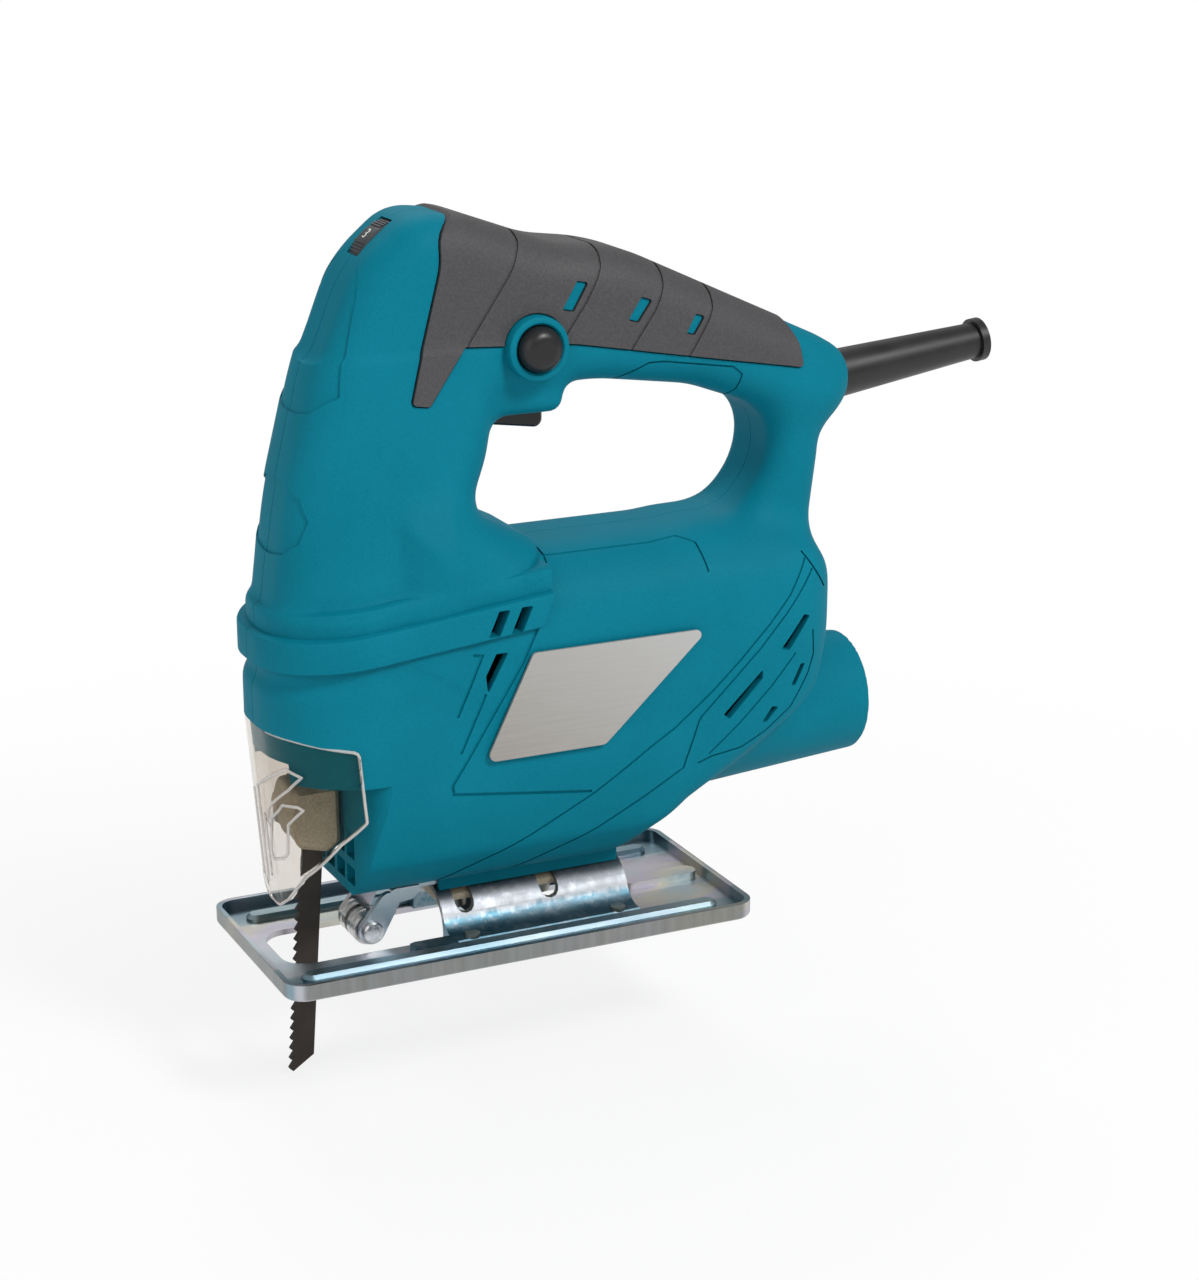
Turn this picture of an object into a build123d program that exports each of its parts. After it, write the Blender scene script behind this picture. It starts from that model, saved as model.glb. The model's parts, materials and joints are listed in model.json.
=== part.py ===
from build123d import *
import os
from math import asin, cos, degrees, pi, radians, sin, tan

# Jigsaw. Frame: origin on the sole under the arch, +X to the rear, +Z up, the blade at -X. Millimetres.

# Walls and clearances
wall = 2.5
free_gap = 0.3
run_gap = 0.05
seat_gap = 0.1
far = 120.0

# Handle and front column, side outline as corner x, corner z, corner radius
handle_outline = [
    (-61.5, 92, 11), (-58.5, 126, 120), (-49.5, 159, 80), (-37.5, 187, 40), (-22, 200, 14),
    (-9, 198.5, 20), (16, 189.5, 40), (36, 187, 60), (98, 158.5, 30), (107.5, 153, 10.8),
    (107.5, 130.5, 10.8), (84, 139, 20), (58, 148.5, 40), (30, 152.5, 60), (0.5, 151.5, 6),
    (-2, 133, 30), (-8.5, 121, 30), (-8.5, 88, 11),
]
handle_half = 17.0
handle_round = 10.0
post_outline = [
    (54, 90, 7), (54, 105.5, 7), (70, 107.5, 14), (82.5, 124, 20), (82, 150, 7), (98, 150, 7),
    (98, 127, 30), (95, 104, 40), (95, 90, 7),
]
post_half = 15.0
post_round = 6.0

# Motor body: cross-section, side outline and plan outline
body_half = 29.0
body_top = 111.0
body_floor = 18.0
keel_half = 13.2
crown_round = 24.0
body_section = [
    (body_half, body_top, crown_round), (body_half, 52, 60), (22.5, 29.5, 12), (keel_half, body_floor, 1.5),
]
body_side = [
    (-80, 80, 0), (-16, 86, 0), (-5, 112, 0), (62, 112, 60), (86, 108, 20), (100.5, 94, 12), (100, 78, 14),
    (92.5, 62, 10), (53, 34, 10), (36, body_floor - 1, 15), (-80, body_floor - 1, 0),
]
nose_front = -65.5
nose_round = 26.0
body_rear = 101.0
rear_round = 22.0
plan_over = 0.05

# Gear head with its collar bands and the neck that rises to the column
head_half = 28.5
head_rear = 9.0
head_top = 99.5
head_low = 64.5
head_round = 4.0
band_proud = 1.2
band_low = 84.5
band_mid = 93.5
band_slope = 6.0
neck_low = (92.0, -63.8, -22.5, 27.5, 25.5, 10.0)
neck_high = (158.0, -50.0, 1.0, 16.5, 15.0, 8.0)

# Blade chamber under the nose
skirt_low = 54.0
chin_front = -43.5
chin_round = 12.0
chamber_half = 14.0

# Dust port and duct
port_z = 51.5
port_end = 113.2
port_start = 57.0
port_outer = 17.2
port_root = 21.0
port_bore = 15.0
port_depth = 42.0
duct_z = 33.0
duct_bore = 7.0
duct_wall = 2.0

# Motor
motor_z = 68.0
stack_start = 4.0
stack_length = 32.0
stator_radius = 26.0
yoke_thick = 3.0
shoe_thick = 2.3
core_radius = 15.5
air_gap = 0.6
neck_half = 8.0
coil_half = 14.0
coil_over = 5.0
shaft_radius = 3.5
bearing_radius = 9.5
bearing_width = 6.0
rear_bearing_start = 62.0
fan_start = -13.0
fan_width = 9.0
fan_radius = 22.0
fan_blades = 13
commutator_start = 43.0
commutator_length = 12.0
commutator_radius = 10.0
commutator_bars = 20
core_slots = 12
core_slot_half = 1.2
core_slot_depth = 6.0
winding_over = 4.0
winding_drop = 1.0
bar_gap_half = 0.25
bar_gap_depth = 0.8
bar_riser = 2.0
fan_disc = 1.5
fan_hub = 3.0
fan_eye = 9.0
fan_blade_half = 0.6
brush_width = 6.0
brush_height = 9.0
holder_wall = 1.2
holder_start_gap = 1.5
holder_end = 24.0
brush_end = 18.0

# Gearing
tooth_module = 0.8
pinion_teeth = 8
gear_teeth = 42
tooth_share = 0.62
tip_share = 0.44
pinion_addendum = 0.75
pinion_dedendum = 1.1
gear_addendum = 0.6
gear_dedendum = 1.2
pinion_over = 0.5
shaft_step = 1.0
shaft_room = 1.5
clip_width = 1.5
clip_thick = 1.0
pin_over = 1.6
gear_boss = 3.0
gear_front = -42.0
gear_width = 8.0
gear_pin_radius = 4.0
plate_rear = -18.0
plate_thick = 8.0
plate_half = 22.0
plate_low = 52.0
plate_high = 101.0
plate_corner = 8.0
crank_radius = 9.0
crank_pin_radius = 3.0

# Plunger, blade holder and blade
rod_x = -50.0
rod_radius = 4.0
rod_top = 122.0
half_stroke = 9.0
yoke_thick_x = 6.0
yoke_high = 15.0
yoke_end = 2.0
yoke_roller_wall = 1.5
bush_radius = 6.0
low_bush_start = 60.5
low_bush_length = 8.5
high_bush_start = 106.5
high_bush_length = 8.0
seal_thick = 1.0
holder_outline = [
    (-57, 49, 2), (-44.8, 49, 2), (-44.6, 33, 2), (-48, 30.5, 2), (-56, 32.5, 2), (-59.3, 42, 2),
]
holder_half = 8.0
holder_chamfer = 1.2
rod_in_holder = 14.0
pinch_places = (-5.5, 1.5)
pinch_drop = 12.0
pinch_radius = 1.5
pinch_tip = 1.0
pinch_head = 2.6
pinch_head_high = 1.4
pinch_socket = 1.2
pinch_socket_deep = 0.8
blade_thick = 1.2
blade_width = 7.0
blade_tip_z = -35.5
blade_heel_z = -31.0
blade_top_z = 44.0
blade_back_x = -49.5
blade_rake = 4.2
tooth_pitch = 2.9
tooth_depth = 1.2
tooth_count = 20

# Base plate, arch bracket, clamp and roller
base_length = 138.0
base_width = 66.0
base_rim = 4.8
base_corner = 6.0
sole_round = 1.2
sheet = 1.6
slot_front = -62.0
slot_half = 12.5
bridge_front = -4.5
bridge_rear = 9.5
slot_rear = 34.0
rear_slot_half = 10.0
slot_front_round = 7.0
slot_rear_round = 6.0
bridge_round = 2.0
rib_y = 22.6
rib_width = 5.6
rib_high = 1.9
rib_inset = 8.0
rib_chamfer = 1.0
rear_rib_half = 3.0
rear_rib_round = 2.9
tilt_z = 2.0
tilt_limit = 45.0
arch_radius = 12.5
arch_front = -17.0
arch_rear = 39.0
foot_edge = 19.5
foot_round = 3.0
tab_front = -29.0
tab_inner = 14.5
bolt_places = (-10.0, 15.5)
bolt_radius = 2.5
bolt_head_radius = 4.2
bolt_head_high = 3.0
bolt_socket = 1.7
bolt_socket_deep = 2.0
nut_half = 4.0
nut_thick = 3.4
shoe_low = 9.3
shoe_half = 5.5
shoe_over = 6.0
saddle_half = 6.2
saddle_inset = 1.0
rivet_radius = 1.4
rivet_head = 2.1
rivet_head_high = 1.0
rivet_inset = 6.0
strip_half = 5.0
strip_thick = 2.0
strip_front = -27.0
strip_rear = 2.0
retainer_travel = 6.5
ear_half = 8.2
ear_thick = 1.7
roller_x = -36.5
roller_z = 5.6
roller_radius = 4.75
roller_pin_radius = 2.4
roller_pin_over = 0.6
groove_half = 1.0
groove_depth = 1.2
ear_low = 2.0
ear_high = 6.0
ear_round = 2.0
ear_trim = 0.6

# Switch, trigger, lock button and speed dial
switch_start = -6.0
switch_end = 24.0
switch_low = 157.0
switch_high = 172.0
switch_half = 8.0
hood_front = -4.0
hood_rear = 20.0
hood_low = 145.0
hood_half = 13.0
hood_high = 14.0
hood_round = 4.0
trigger_front = -1.5
trigger_rear = 16.3
trigger_low = 139.8
trigger_top = 152.0
trigger_half = 5.5
trigger_slope = 2.6
trigger_chamfer = 0.6
lock_x = 9.0
lock_z = 164.2
lock_radius = 6.1
lock_face = 24.0
lock_travel = 3.0
lock_dome = 3.6
lock_flange = 1.1
lock_flange_thick = 1.5
collar_radius = 8.6
collar_face = 20.5
dial_x = -23.2
dial_z = 186.0
dial_radius = 11.0
dial_half = 3.6
dial_bore = 2.0
dial_teeth = 36
dial_notch_half = 0.35
dial_notch_deep = 0.4
module_half = 4.6
module_deep = 6.0

# Grip, name plate and cord guard
grip_proud = 0.7
grip_depth = 1.2
grip_outline = [
    (-24, 210), (-17, 190), (-26, 152.5), (-21.5, 151.5), (-11, 166), (20, 164.5), (60, 157),
    (88.5, 152.5), (88, 168), (60, 210),
]
grip_windows = [(19.5, 177, 5.2, 8.0, 3.0), (39, 171.5, 4.4, 6.4, 3.0), (55, 166.5, 3.6, 5.2, 3.0)]
label_outline = [(2.6, 85.5, 1.5), (54.5, 85.5, 1.5), (23.5, 57, 2), (-11.5, 57, 2)]
label_proud = 0.4
label_depth = 0.4
cord_x = 105.0
cord_z = 144.6
cord_rise = 7.0
guard_root = 7.0
guard_tip = 5.0
guard_length = 52.0
guard_bore = 3.4
guard_flange = 8.2
guard_flange_thick = 3.0
guard_collar = 1.2
guard_collar_long = 2.4

# Clear blade guard
shield_thick = 1.6
shield_lean = 4.5
shield_flush = 68.0
shield_side = [
    (-80, 67.8, 0), (-61, 67.0, 30), (-46.4, 64.6, 1.5), (-44.6, 45.0, 1.0), (-51.0, 38.8, 6),
    (-58.6, 27.5, 6), (-59.6, 8, 0), (-80, 8, 0),
]
shield_face = [
    (60, 90, 0), (60, 60, 0), (15.6, 26.4, 10), (9.4, 19.6, 4), (4.0, 16.2, 5),
]

# Housing screws: x, z and the depth of the head's seat from the parting plane
screw_places = [
    (-34, 156, 10), (-20, 124, 11), (52, 156, 11), (89.5, 121, 9), (90, 94, 16), (60, 44.5, 17),
    (-34, 48, 17), (-2, 101, 16),
]
screw_radius = 1.8
screw_head = 3.4
screw_head_high = 2.4
screw_tip = 9.0
screw_socket = 1.3
screw_socket_deep = 1.6
boss_radius = 5.4

# Ribs inside the shell
rib_thick = 4.0
plate_rib = 1.5
plate_grip = 2.0
bush_rib_gap = 1.5
bearing_rib = 24.0
brush_rib_start = 15.0

# Vents in both flanks: x, z, width, height and lean
vents = [
    (-5.5, 95, 3, 6.8, 3.4), (0.5, 95, 3, 6.8, 3.4), (-7, 81, 3, 10, 5), (68.5, 64.5, 2.2, 15.5, 14.5),
    (82.5, 80, 2.2, 8, 6), (81.5, 68, 2.4, 6, 2.4), (73.5, 57.5, 2.4, 4, 4.6),
]
vent_inner = 22.0

# Cord clamp
clamp_x = 89.0
clamp_half = 3.0
clamp_low = 143.0
clamp_high = 157.0
clamp_thick = 3.0
clamp_screw = 1.4
clamp_screw_inset = 2.6
clamp_screw_deep = 6.0
clamp_screw_head = 2.4
clamp_screw_head_high = 1.6
clamp_boss = 2.6


def block(x0, x1, y0, y1, z0, z1):
    return Pos((x0 + x1) / 2, (y0 + y1) / 2, (z0 + z1) / 2) * Box(x1 - x0, y1 - y0, z1 - z0)


def bar_x(radius, x0, x1, y, z):
    return Pos((x0 + x1) / 2, y, z) * Rot(0, 90, 0) * Cylinder(radius, x1 - x0)


def bar_y(radius, y0, y1, x, z):
    return Pos(x, (y0 + y1) / 2, z) * Rot(90, 0, 0) * Cylinder(radius, y1 - y0)


def bar_z(radius, z0, z1, x, y):
    return Pos(x, y, (z0 + z1) / 2) * Cylinder(radius, z1 - z0)


def moved_in(corners, inset):
    # Each side moves inward by the inset, and each corner's radius shrinks or grows with it.
    count = len(corners)
    points = [Vector(c[0], c[1]) for c in corners]
    area = sum(points[i - 1].X * points[i].Y - points[i].X * points[i - 1].Y for i in range(count))
    turn = 1 if area > 0 else -1
    result = []
    for i in range(count):
        before = (points[i] - points[i - 1]).normalized()
        after = (points[(i + 1) % count] - points[i]).normalized()
        bend = before.X * after.Y - before.Y * after.X
        inward = Vector(-before.Y - after.Y, before.X + after.X) * turn
        corner = points[i] + inward * (inset / (1 + before.dot(after)))
        radius = corners[i][2] if len(corners[i]) > 2 else 0
        convex = bend * turn > 0
        radius = radius if radius == 0 else radius + (-inset if convex else inset)
        result.append((corner.X, corner.Y, max(radius, 0)))
    return result


def rounded(corners, inset=0.0):
    moved = moved_in(corners, inset)
    return make_face(FilletPolyline(*[m[:2] for m in moved], radius=[m[2] for m in moved], close=True))


def side_slab(corners, half, inset=0.0):
    return extrude(Plane.XZ * rounded(corners, inset), amount=half - inset, both=True)


def pillow(corners, half, edge_round, inset=0.0):
    slab = side_slab(corners, half, inset)
    rim = [e for e in slab.edges() if abs(abs(e.center().Y) - (half - inset)) < 0.01]
    return fillet(rim, radius=edge_round - inset)


def plan_outline(front, rear, half, front_round, rear_round_in):
    return [
        (front, -half, front_round), (rear, -half, rear_round_in),
        (rear, half, rear_round_in), (front, half, front_round),
    ]


def plan_slab(corners, z0, z1, inset=0.0):
    return Pos(0, 0, z0) * extrude(rounded(corners, inset), amount=z1 - z0)


def mirrored(points):
    return list(points) + [(-p[0],) + tuple(p[1:]) for p in reversed(points)]


def neck(inset):
    sections = []
    for z, front, rear, half, front_round, rear_in in (neck_low, neck_high):
        outline = plan_outline(front, rear, half, front_round, rear_in)
        sections.append(Pos(0, 0, z) * rounded(outline, inset))
    return loft(sections, ruled=True)


def motor_body(inset):
    section = extrude(Plane.YZ * rounded(mirrored(body_section), inset), amount=2 * far, both=True)
    side = side_slab(body_side, far, inset)
    return section & side & plan_slab(body_plan, 0, far, inset)


def sloped(height, x):
    # Height of a line that is given at the nose and rises to the rear with the bands.
    return height + (x - nose_front) * tan(radians(band_slope))


def on_slope(edge, height):
    return abs(edge.center().Z - sloped(height, edge.center().X)) < 0.01


def sloped_slab(corners, low, high, inset):
    sides = [(x, sloped(z, x)) for x, z in ((-far, low), (far, low), (far, high), (-far, high))]
    return plan_slab(corners, 0, far, inset) & side_slab(sides, far)


def gear_head(inset):
    plan = plan_outline(nose_front, head_rear, head_half, nose_round, head_round)
    top = sloped_slab(plan, head_low, head_top - inset, inset)
    rim = [e for e in top.edges() if on_slope(e, head_top - inset)]
    return fillet(rim, radius=max(head_round - inset, 0.5))


def collar(low, high, proud):
    plan = plan_outline(nose_front - proud, head_rear, head_half + proud, nose_round + proud, head_round)
    ring = sloped_slab(plan, low, high, 0)
    rim = [e for e in ring.edges() if on_slope(e, low) or on_slope(e, high)]
    return chamfer(rim, length=0.6 * proud)


def shell_form(inset):
    form = motor_body(inset) + gear_head(inset) + neck(inset)
    form += pillow(handle_outline, handle_half, handle_round, inset)
    form += pillow(post_outline, post_half, post_round, inset)
    return form


def nose_cut():
    keep = plan_slab(plan_outline(chin_front, far, body_half, chin_round, 0), 0, skirt_low)
    return block(-far, 0, -far, far, 0, skirt_low) - keep


def shield_form(inset):
    # The nose's plan, flush with the nose at the guard's upper edge and leaning back below it.
    sections = []
    for z in (0, 2 * shield_flush):
        shift = (shield_flush - z) * tan(radians(shield_lean))
        front, rear, half = nose_front + shift, body_rear + shift, body_half + plan_over
        plan = plan_outline(front, rear, half, nose_round, rear_round)
        sections.append(Pos(0, 0, z) * rounded(plan, inset))
    return loft(sections, ruled=True)


def slanted(x, z, width, height, lean):
    return [
        (x - width / 2 - lean / 2, z - height / 2), (x + width / 2 - lean / 2, z - height / 2),
        (x + width / 2 + lean / 2, z + height / 2), (x - width / 2 + lean / 2, z + height / 2),
    ]


def flank_prism(corners, y0, y1):
    return extrude(Plane.XZ.offset(-y0) * rounded(corners), amount=y0 - y1)


def ring_x(radius, bore, x0, x1, z):
    return bar_x(radius, x0, x1, 0, z) - bar_x(bore, x0 - 1, x1 + 1, 0, z)


def ring_z(radius, bore, z0, z1, x):
    return bar_z(radius, z0, z1, x, 0) - bar_z(bore, z0 - 1, z1 + 1, x, 0)


def spur(teeth, tip, root, x0, x1, z, phase):
    # Straight-flanked teeth on a wheel that turns about X, the first tooth's middle at the phase angle.
    pitch = 2 * pi / teeth
    points = []
    for i in range(teeth):
        middle = radians(phase) + i * pitch
        for radius, share in ((root, -1), (tip, -tip_share), (tip, tip_share), (root, 1)):
            angle = middle + share * tooth_share * pitch / 2
            points.append((radius * cos(angle), radius * sin(angle)))
    face = make_face(Polyline(*points, close=True))
    return Pos(x0, 0, z) * extrude(Plane.YZ * face, amount=x1 - x0)


def turned_places(count):
    return [Pos(0, 0, motor_z) * Rot(i * 360 / count, 0, 0) for i in range(count)]


def brush_block(y0, y1, grow):
    half_x = brush_width / 2 + grow
    half_z = brush_height / 2 + grow
    return block(brush_x - half_x, brush_x + half_x, y0, y1, motor_z - half_z, motor_z + half_z)


# Derived places
body_plan = plan_outline(nose_front, body_rear, body_half + plan_over, nose_round, rear_round)
gear_z = motor_z + tooth_module * (pinion_teeth + gear_teeth) / 2
gear_rear = gear_front + gear_width
plate_front = plate_rear - plate_thick
stack_end = stack_start + stack_length
front_bearing_start = plate_rear - bearing_width
rear_bearing_end = rear_bearing_start + bearing_width
stator_bore = core_radius + air_gap
shoe_outer = stator_bore + shoe_thick
yoke_inner = stator_radius - yoke_thick
yoke_front = rod_x - yoke_thick_x / 2
yoke_rear = rod_x + yoke_thick_x / 2
yoke_roller_radius = crank_pin_radius + yoke_roller_wall
yoke_slot_half = crank_radius + yoke_roller_radius + free_gap
arch_top = tilt_z + arch_radius
seat_radius = arch_radius + free_gap
arch_inner = arch_radius - sheet
slot_angle = tilt_limit + degrees(asin((bolt_radius + free_gap) / arch_inner))
arch_slot_low = tilt_z + arch_inner * cos(radians(slot_angle))
strip_low = arch_top + free_gap
strip_high = strip_low + strip_thick
nut_low = body_floor + wall
nut_high = nut_low + nut_thick
low_bush_end = low_bush_start + low_bush_length
high_bush_end = high_bush_start + high_bush_length
chamber_roof = low_bush_start - seal_thick
brush_x = commutator_start + commutator_length / 2

# Motor: stator
stator_core = ring_x(stator_radius, yoke_inner, stack_start, stack_end, motor_z)
pole_ring = ring_x(shoe_outer, stator_bore, stack_start, stack_end, motor_z)
field_coils = Part()
for side in (-1, 1):
    half_space = Pos(0, 0, motor_z + side * far / 2) * Box(2 * far, 2 * coil_half, far)
    pole_neck = block(stack_start, stack_end, -neck_half, neck_half, motor_z - far, motor_z + far)
    pole_neck &= ring_x(yoke_inner + yoke_thick / 2, stator_bore, stack_start, stack_end, motor_z)
    stator_core += (pole_ring + pole_neck) & half_space
    coil = ring_x(yoke_inner, shoe_outer, stack_start - coil_over, stack_end + coil_over, motor_z)
    coil &= half_space
    coil -= block(stack_start, stack_end, -neck_half, neck_half, motor_z - far, motor_z + far)
    field_coils += coil
front_bearing = ring_x(bearing_radius, shaft_radius + run_gap, front_bearing_start, plate_rear, motor_z)
rear_bearing = ring_x(bearing_radius, shaft_radius + run_gap, rear_bearing_start, rear_bearing_end, motor_z)
brush_holders = Part()
holder_blanks = Part()
carbon_brushes = Part()
for side in (-1, 1):
    low_y, high_y = sorted((side * (commutator_radius + holder_start_gap), side * holder_end))
    tube = brush_block(low_y, high_y, holder_wall)
    holder_blanks += tube
    brush_holders += tube - brush_block(-far, far, 0)
    low_y, high_y = sorted((side * (commutator_radius + free_gap), side * brush_end))
    carbon_brushes += brush_block(low_y, high_y, 0)

# Motor: armature
pinion_pitch = tooth_module * pinion_teeth / 2
gear_pitch = tooth_module * gear_teeth / 2
pinion_tip = pinion_pitch + pinion_addendum * tooth_module
pinion_root = pinion_pitch - pinion_dedendum * tooth_module
gear_tip = gear_pitch + gear_addendum * tooth_module
gear_root = gear_pitch - gear_dedendum * tooth_module
pinion_start = gear_front - pinion_over
pinion_end = plate_front - shaft_step
armature_shaft = spur(pinion_teeth, pinion_tip, pinion_root, pinion_start, pinion_end, motor_z, 90)
armature_shaft += bar_x(shaft_radius, pinion_end, rear_bearing_end, 0, motor_z)
armature_core = ring_x(core_radius, shaft_radius, stack_start, stack_end, motor_z)
winding_radius = core_radius - winding_drop
slot_floor = core_radius - core_slot_depth
armature_windings = ring_x(winding_radius, slot_floor, stack_start - winding_over, stack_start, motor_z)
armature_windings += ring_x(winding_radius, slot_floor, stack_end, stack_end + winding_over, motor_z)
slot_cut = block(stack_start - 1, stack_end + 1, -core_slot_half, core_slot_half,
                 slot_floor, core_radius + 1)
slot_fill = block(stack_start, stack_end, -core_slot_half, core_slot_half,
                  slot_floor + seat_gap, winding_radius)
for place in turned_places(core_slots):
    armature_core -= place * slot_cut
    armature_windings += place * slot_fill
commutator_end = commutator_start + commutator_length
commutator = ring_x(commutator_radius, shaft_radius, commutator_start, commutator_end, motor_z)
bar_gap = block(commutator_start - 1, commutator_end - bar_riser, -bar_gap_half, bar_gap_half,
                commutator_radius - bar_gap_depth, commutator_radius + 1)
for place in turned_places(commutator_bars):
    commutator -= place * bar_gap
fan_end = fan_start + fan_width
fan = ring_x(fan_radius, shaft_radius, fan_start, fan_start + fan_disc, motor_z)
fan += ring_x(shaft_radius + fan_hub, shaft_radius, fan_start, fan_end, motor_z)
fan_vane = block(fan_start, fan_end, -fan_blade_half, fan_blade_half, fan_eye, fan_radius - 1)
for place in turned_places(fan_blades):
    fan += place * fan_vane

# Gear train: plate, pin, gear and crank
plate_face = mirrored([(plate_half, plate_high, plate_corner), (plate_half, plate_low, plate_corner)])
gear_plate_blank = Pos(plate_front, 0, 0) * extrude(Plane.YZ * rounded(plate_face), amount=plate_thick)
gear_plate = gear_plate_blank - bar_x(bearing_radius, front_bearing_start, plate_rear + 1, 0, motor_z)
gear_plate -= bar_x(shaft_radius + shaft_room, plate_front - 1, plate_rear + 1, 0, motor_z)
gear_pin = bar_x(gear_pin_radius, gear_front - pin_over, plate_rear, 0, gear_z)
gear_plate -= gear_pin
clip_rear = gear_front - free_gap
gear_clip = ring_x(gear_pin_radius + clip_width, gear_pin_radius, clip_rear - clip_thick, clip_rear, gear_z)
gear_phase = -90 + 180 / gear_teeth
drive_gear = spur(gear_teeth, gear_tip, gear_root, gear_front, gear_rear, gear_z, gear_phase)
drive_gear += bar_x(gear_pin_radius + gear_boss, gear_front, plate_front - free_gap, 0, gear_z)
drive_gear -= bar_x(gear_pin_radius + run_gap, gear_front - 1, plate_front + 1, 0, gear_z)
crank_front = rod_x + rod_radius + free_gap
crank_pin = bar_x(crank_pin_radius, crank_front, gear_front + gear_width / 2, crank_radius, gear_z)
drive_gear -= crank_pin

# Plunger, holder and blade
tooth_line = -blade_width + tooth_depth
blade_points = [(0, blade_top_z), (0, blade_heel_z), (tooth_line, blade_tip_z)]
for i in range(tooth_count):
    foot = blade_tip_z + 1 + i * tooth_pitch
    blade_points += [(-blade_width, foot), (tooth_line, foot + 0.7 * tooth_pitch)]
blade_points += [(tooth_line, blade_top_z)]
blade_lean = Pos(blade_back_x, 0, 0) * Rot(0, blade_rake, 0)
blade_face = make_face(Polyline(*blade_points, close=True))
blade = blade_lean * extrude(Plane.XZ * blade_face, amount=blade_thick / 2, both=True)
blade_holder = side_slab(holder_outline, holder_half)
flat_edges = [e for e in blade_holder.edges() if abs(abs(e.center().Y) - holder_half) < 0.01]
blade_holder = chamfer(flat_edges, length=holder_chamfer)
holder_top = holder_outline[0][1]
plunger_rod = bar_z(rod_radius, holder_top - rod_in_holder, rod_top, rod_x, 0)
yoke_half = yoke_slot_half + yoke_end
yoke_tall = yoke_high / 2
plunger_rod += block(yoke_front, yoke_rear, -yoke_half, yoke_half, gear_z - yoke_tall, gear_z + yoke_tall)
slot_reach = yoke_roller_radius + run_gap
plunger_rod -= block(rod_x - far / 4, rod_x + far / 4, -yoke_slot_half, yoke_slot_half,
                     gear_z - slot_reach, gear_z + slot_reach)
yoke_roller = ring_x(yoke_roller_radius, crank_pin_radius, yoke_front, yoke_rear, gear_z)
yoke_roller = Pos(0, crank_radius, 0) * yoke_roller
plunger_rod -= blade
holder_screws = Part()
pinch_z = holder_top - pinch_drop
pinch_face = holder_half + pinch_head_high
for place in pinch_places:
    screw = bar_y(pinch_radius, pinch_tip, holder_half, rod_x + place, pinch_z)
    screw += bar_y(pinch_head, holder_half, pinch_face, rod_x + place, pinch_z)
    screw -= bar_y(pinch_socket, pinch_face - pinch_socket_deep, pinch_face + 1, rod_x + place, pinch_z)
    holder_screws += screw - blade - plunger_rod
blade_holder -= blade + plunger_rod + holder_screws
bush_bore = rod_radius + run_gap
upper_bush = ring_z(bush_radius, bush_bore, high_bush_start, high_bush_end, rod_x)
lower_bush = ring_z(bush_radius, bush_bore, low_bush_start, low_bush_end, rod_x)
rod_seal = ring_z(bush_radius, bush_bore, chamber_roof, low_bush_start, rod_x)

# Base plate: upturned rim, pressed ribs and blade opening
half_length = base_length / 2
half_width = base_width / 2
rib_round = 0.48 * rib_width
rib_end = half_length - rib_inset
rib_top = sheet + rib_high
base_plan = plan_outline(-half_length, half_length, half_width, base_corner, base_corner)
base_plate = plan_slab(base_plan, 0, base_rim)
sole_edges = [e for e in base_plate.edges() if abs(e.center().Z) < 0.01]
base_plate = fillet(sole_edges, radius=sole_round)
base_plate -= plan_slab(base_plan, sheet, base_rim + 1, sheet)
for side in (-1, 1):
    rib_plan = plan_outline(slot_front, rib_end, rib_width / 2, rib_round, rib_round)
    rib = Pos(0, side * rib_y, 0) * plan_slab(rib_plan, sheet / 2, rib_top)
    base_plate += chamfer([e for e in rib.edges() if e.center().Z > rib_top - 0.01], length=rib_chamfer)
rear_rib_start = slot_rear + rib_inset
rear_rib_end = half_length - rear_rib_half
rear_rib = plan_outline(rear_rib_start, rear_rib_end, rear_rib_half, rear_rib_round, rear_rib_round)
base_plate += plan_slab(rear_rib, sheet / 2, rib_top)
blade_slot = plan_outline(slot_front, bridge_front, slot_half, slot_front_round, bridge_round)
base_plate -= plan_slab(blade_slot, -1, sheet + 1)
rear_slot = plan_outline(bridge_rear, slot_rear, rear_slot_half, bridge_round, slot_rear_round)
base_plate -= plan_slab(rear_slot, -1, sheet + 1)

# Arch bracket with its tilt slots, front tabs and rivets
foot_top = 2 * sheet
base_bracket = bar_x(arch_radius, arch_front, arch_rear, 0, tilt_z)
base_bracket += block(arch_front, arch_rear, -foot_edge, foot_edge, sheet, foot_top)
top_edges = [e for e in base_bracket.edges() if abs(e.center().Z - foot_top) < 0.01]
inside_corners = [
    e for e in top_edges if abs(e.tangent_at(0.5).X) > 0.9 and abs(e.center().Y) < foot_edge - 1
]
base_bracket = fillet(inside_corners, radius=foot_round)
for side in (-1, 1):
    low_y, high_y = sorted((side * tab_inner, side * foot_edge))
    base_bracket += block(tab_front, arch_front, low_y, high_y, sheet, foot_top)
base_bracket -= block(-far, far, -far, far, -far, sheet)
base_bracket -= bar_x(arch_inner, -far, far, 0, tilt_z)
slot_side = bolt_radius + free_gap
slot_end = 0.95 * slot_side
for x in bolt_places:
    slot_corners = [
        (x - slot_side, arch_slot_low, slot_end), (x + slot_side, arch_slot_low, slot_end),
        (x + slot_side, arch_top + 2, 0), (x - slot_side, arch_top + 2, 0),
    ]
    base_bracket -= flank_prism(slot_corners, -arch_radius - 1, arch_radius + 1)
bracket_rivets = Part()
rivet_y = (arch_radius + foot_round + foot_edge) / 2
for x in (arch_front + rivet_inset, arch_rear - rivet_inset):
    for y in (-rivet_y, rivet_y):
        rivet = bar_z(rivet_radius, 0, foot_top, x, y)
        bracket_rivets += rivet + bar_z(rivet_head, foot_top, foot_top + rivet_head_high, x, y)
base_plate -= bracket_rivets
base_bracket -= bracket_rivets

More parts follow.
